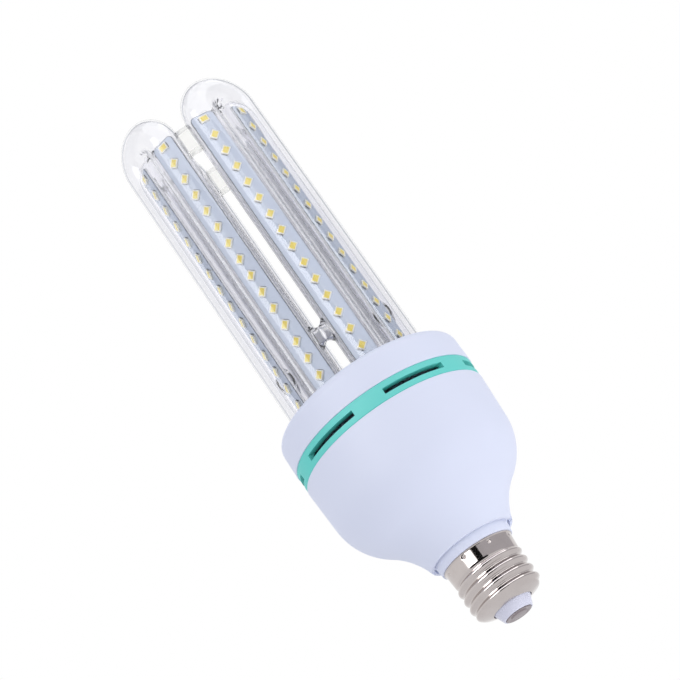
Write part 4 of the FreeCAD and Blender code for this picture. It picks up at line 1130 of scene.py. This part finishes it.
INNER_FINISHES = {
    "tube_seals": SILICONE,
    "driver_board": BOARD_GREEN,
    "smoothing_capacitor": SLEEVE,
    "transformer_core": FERRITE,
    "transformer_coil": TAPE,
    "film_capacitor": RESIN,
    "choke": FERRITE,
    "bridge_rectifier": EPOXY,
    "driver_chip": EPOXY,
    "fuse_resistor": CERAMIC,
    "live_wire": BLACK_LEAD,
    "neutral_wire": RED_LEAD,
    "feed_wires": RED_LEAD,
    "strip_jumpers": TINNED_LINK,
}


def finish_inner_nodes():
    """Give each CAD node that stays its own finish."""
    for name, material in INNER_FINISHES.items():
        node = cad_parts[name]
        for slot in node.material_slots:
            slot.material = material


# Camera, light and ground: heights on the lamp are in millimetres here, and the studio is in metres

TILT = math.radians(20.92)
ROLL = math.radians(34.8)
LAMP_TURN = 1.5
CAMERA_PLACE = metres(3.18, -944.3, -241.5)
FOCAL_LENGTH = 150.88
SENSOR_WIDTH = 36
VIEW_RANGE = (0.01, 50)
FLOOR_HEIGHT = -0.55
FLOOR_RADIUS = 4
FLOOR_GLOW = 0.7
SURROUNDING_LEVEL = 0.86
BOUNCES = 32
CAP_MIDDLE = 16
TUBES_MIDDLE = 160


def make_camera():
    """Camera below the lamp, looking up and rolled, so that the lamp lies across the frame."""
    across = Vector((1, 0, 0))
    upwards = Vector((0, -math.sin(TILT), math.cos(TILT)))
    back = Vector((0, -math.cos(TILT), -math.sin(TILT)))
    right = across * math.cos(ROLL) - upwards * math.sin(ROLL)
    up = upwards * math.cos(ROLL) + across * math.sin(ROLL)
    turn = Matrix.Rotation(math.radians(LAMP_TURN), 4, "Z")
    axes = Matrix((right, up, back)).transposed().to_4x4()
    data = bpy.data.cameras.new("camera")
    data.sensor_width = SENSOR_WIDTH
    data.lens = FOCAL_LENGTH
    data.clip_start, data.clip_end = VIEW_RANGE
    camera = bpy.data.objects.new("camera", data)
    bpy.context.scene.collection.objects.link(camera)
    camera.matrix_world = turn @ Matrix.Translation(CAMERA_PLACE) @ axes
    bpy.context.scene.camera = camera


def around(azimuth, elevation, distance, height):
    """A place round the lamp: degrees to the right and up from the camera's side, and metres away."""
    side = math.radians(azimuth + LAMP_TURN)
    rise = math.radians(elevation)
    direction = Vector((math.sin(side) * math.cos(rise), -math.cos(side) * math.cos(rise), math.sin(rise)))
    return direction * distance + metres(0, 0, height)


def add_lamp(name, azimuth, elevation, distance, height, size, power):
    """A square soft box that lights the plastic and leaves no mark on metal or glass."""
    place = around(azimuth, elevation, distance, height)
    data = bpy.data.lights.new(name, "AREA")
    data.shape = "SQUARE"
    data.size = size
    data.energy = power
    lamp = bpy.data.objects.new(name, data)
    bpy.context.scene.collection.objects.link(lamp)
    lamp.location = place
    lamp.rotation_euler = (metres(0, 0, height) - place).to_track_quat("-Z", "Y").to_euler()
    lamp.visible_camera = False
    lamp.visible_glossy = False
    lamp.visible_transmission = False


def add_card(name, azimuth, elevation, height, wide, high, shade, strength=1, distance=1.1, soft=0,
             mirrored=True, refracted=False):
    """A flat studio card that only gloss, or only glass, can see, as wide and high in degrees from the lamp.

    A soft share of its width at both sides fades to the white of the surroundings.
    """
    place = around(azimuth, elevation, distance, height)
    bpy.ops.mesh.primitive_plane_add(size=1)
    card = named(name)
    material, tree = new_material(name)
    place_on_card = add_node(tree, "TexCoord", {}).outputs["Object"]
    across = add_node(tree, "SeparateXYZ", {"Vector": place_on_card}).outputs["X"]
    to_middle = add_node(tree, "Math", {0: across}, operation="ABSOLUTE").outputs[0]
    edge = 0.5
    level = add_node(tree, "MapRange", {
        "Value": to_middle,
        "From Min": edge,
        "From Max": edge - max(soft, 0.001),
        "To Min": 1 if soft else strength,
        "To Max": strength,
    }, interpolation_type="SMOOTHSTEP").outputs["Result"]
    light = add_node(tree, "Emission", {"Color": colour(shade), "Strength": level})
    add_node(tree, "OutputMaterial", {"Surface": light.outputs["Emission"]})
    card.data.materials.append(material)
    facing = (metres(0, 0, height) - place).normalized()
    side = Vector((0, 0, 1)).cross(facing).normalized()
    turn = Matrix((side, facing.cross(side), facing)).transposed().to_4x4()
    width = 2 * distance * math.tan(math.radians(wide / 2))
    length = 2 * distance * math.tan(math.radians(high / 2))
    card.matrix_world = Matrix.Translation(place) @ turn @ Matrix.Diagonal((width, length, 1, 1))
    card.visible_camera = False
    card.visible_diffuse = False
    card.visible_shadow = False
    card.visible_glossy = mirrored
    card.visible_transmission = refracted


def make_studio():
    """White ground, soft light and the cards that metal and glass mirror."""
    make_camera()
    add_lamp("key", azimuth=70, elevation=-45, distance=0.5, height=60, size=0.3, power=0.7)
    add_lamp("fill", azimuth=-30, elevation=10, distance=1.4, height=90, size=0.9, power=1)
    # name, azimuth, elevation, width, height and shade of each card, and what else it has of its own
    refracted = {"mirrored": False, "refracted": True}
    for middle, cards in (
        (CAP_MIDDLE, (
            ("card_dark", 0, 8, 20, 44, "0C0C0C", {}),
            ("card_dark_low", -9, -8, 66, 28, "0C0C0C", {}),
            ("card_bright_left", -28, 24, 44, 36, "FFFFFF", {"strength": 5.5, "distance": 1.3, "soft": 0.3}),
            ("card_grey_right", 72, 10, 120, 40, "CFCED2", {}),
            ("card_bright_right", 40, 62, 80, 56, "FFFFFF", {"strength": 2.5}),
        )),
        (TUBES_MIDDLE, (
            ("card_tubes_right", 52, 14, 64, 46, "C2C5CA", {"distance": 3, "soft": 0.15}),
            ("card_back_left", -138, 10, 16, 130, "D0D3DA", refracted),
            ("card_back_right", 138, 10, 16, 130, "B0B4BC", refracted),
            ("card_side_left", -90, 0, 30, 100, "D0D3DA", refracted),
            ("card_side_right", 90, 0, 30, 100, "D0D3DA", refracted),
            ("card_above", 0, 88, 60, 60, "8C909C", refracted),
        )),
    ):
        for name, azimuth, elevation, wide, high, shade, own in cards:
            add_card(name, azimuth, elevation, middle, wide, high, shade, **own)
    make_floor()
    make_world()
    paths = bpy.context.scene.cycles
    paths.max_bounces = BOUNCES
    paths.transmission_bounces = BOUNCES
    paths.transparent_max_bounces = BOUNCES


def larger(tree, first, second):
    """The larger of two values."""
    return add_node(tree, "Math", {0: first, 1: second}, operation="MAXIMUM").outputs[0]


def make_floor():
    """Pale floor well below the lamp, white to the camera, with the lamp's soft shadow."""
    place = (0, 0, FLOOR_HEIGHT)
    bpy.ops.mesh.primitive_circle_add(vertices=64, radius=FLOOR_RADIUS, fill_type="NGON", location=place)
    floor = named("floor")
    material, tree = new_material("studio_floor_painted")
    paint = add_node(tree, "BsdfPrincipled", {"Base Color": colour("F4F4F4"), "Roughness": 0.8})
    glow = add_node(tree, "Emission", {"Color": colour("FFFFFF")})
    rays = add_node(tree, "LightPath", {}).outputs
    seen = larger(tree, rays["Is Camera Ray"], rays["Is Glossy Ray"])
    share = add_node(tree, "Math", {0: seen, 1: FLOOR_GLOW}, operation="MULTIPLY")
    mixed = add_node(tree, "MixShader", {0: share.outputs[0], 1: paint.outputs[0], 2: glow.outputs[0]})
    add_node(tree, "OutputMaterial", {"Surface": mixed.outputs["Shader"]})
    floor.data.materials.append(material)


def make_world():
    """White to the camera and in metal and glass, and a softer level for the light itself."""
    world = bpy.data.worlds.new("studio")
    bpy.context.scene.world = world
    world.use_nodes = True
    tree = world.node_tree
    tree.nodes.clear()
    rays = add_node(tree, "LightPath", {}).outputs
    seen = larger(tree, rays["Is Camera Ray"], rays["Is Glossy Ray"])
    shown = larger(tree, seen, rays["Is Transmission Ray"])
    soft = add_node(tree, "Background", {"Color": colour("FAFBFF"), "Strength": SURROUNDING_LEVEL})
    white = add_node(tree, "Background", {"Color": colour("FFFFFF"), "Strength": 1})
    mixed = add_node(tree, "MixShader", {0: shown, 1: soft.outputs[0], 2: white.outputs[0]})
    add_node(tree, "OutputWorld", {"Surface": mixed.outputs["Shader"]})


make_studio()
make_screw_shell()
make_centre_contact()
make_tip_insulator()
make_cap_holder()
make_lower_housing()
make_vent_ring()
make_top_cover()
make_glass_tubes()
make_tube_bonds()
make_strips()
finish_inner_nodes()

bpy.context.scene.view_settings.view_transform = "Standard"
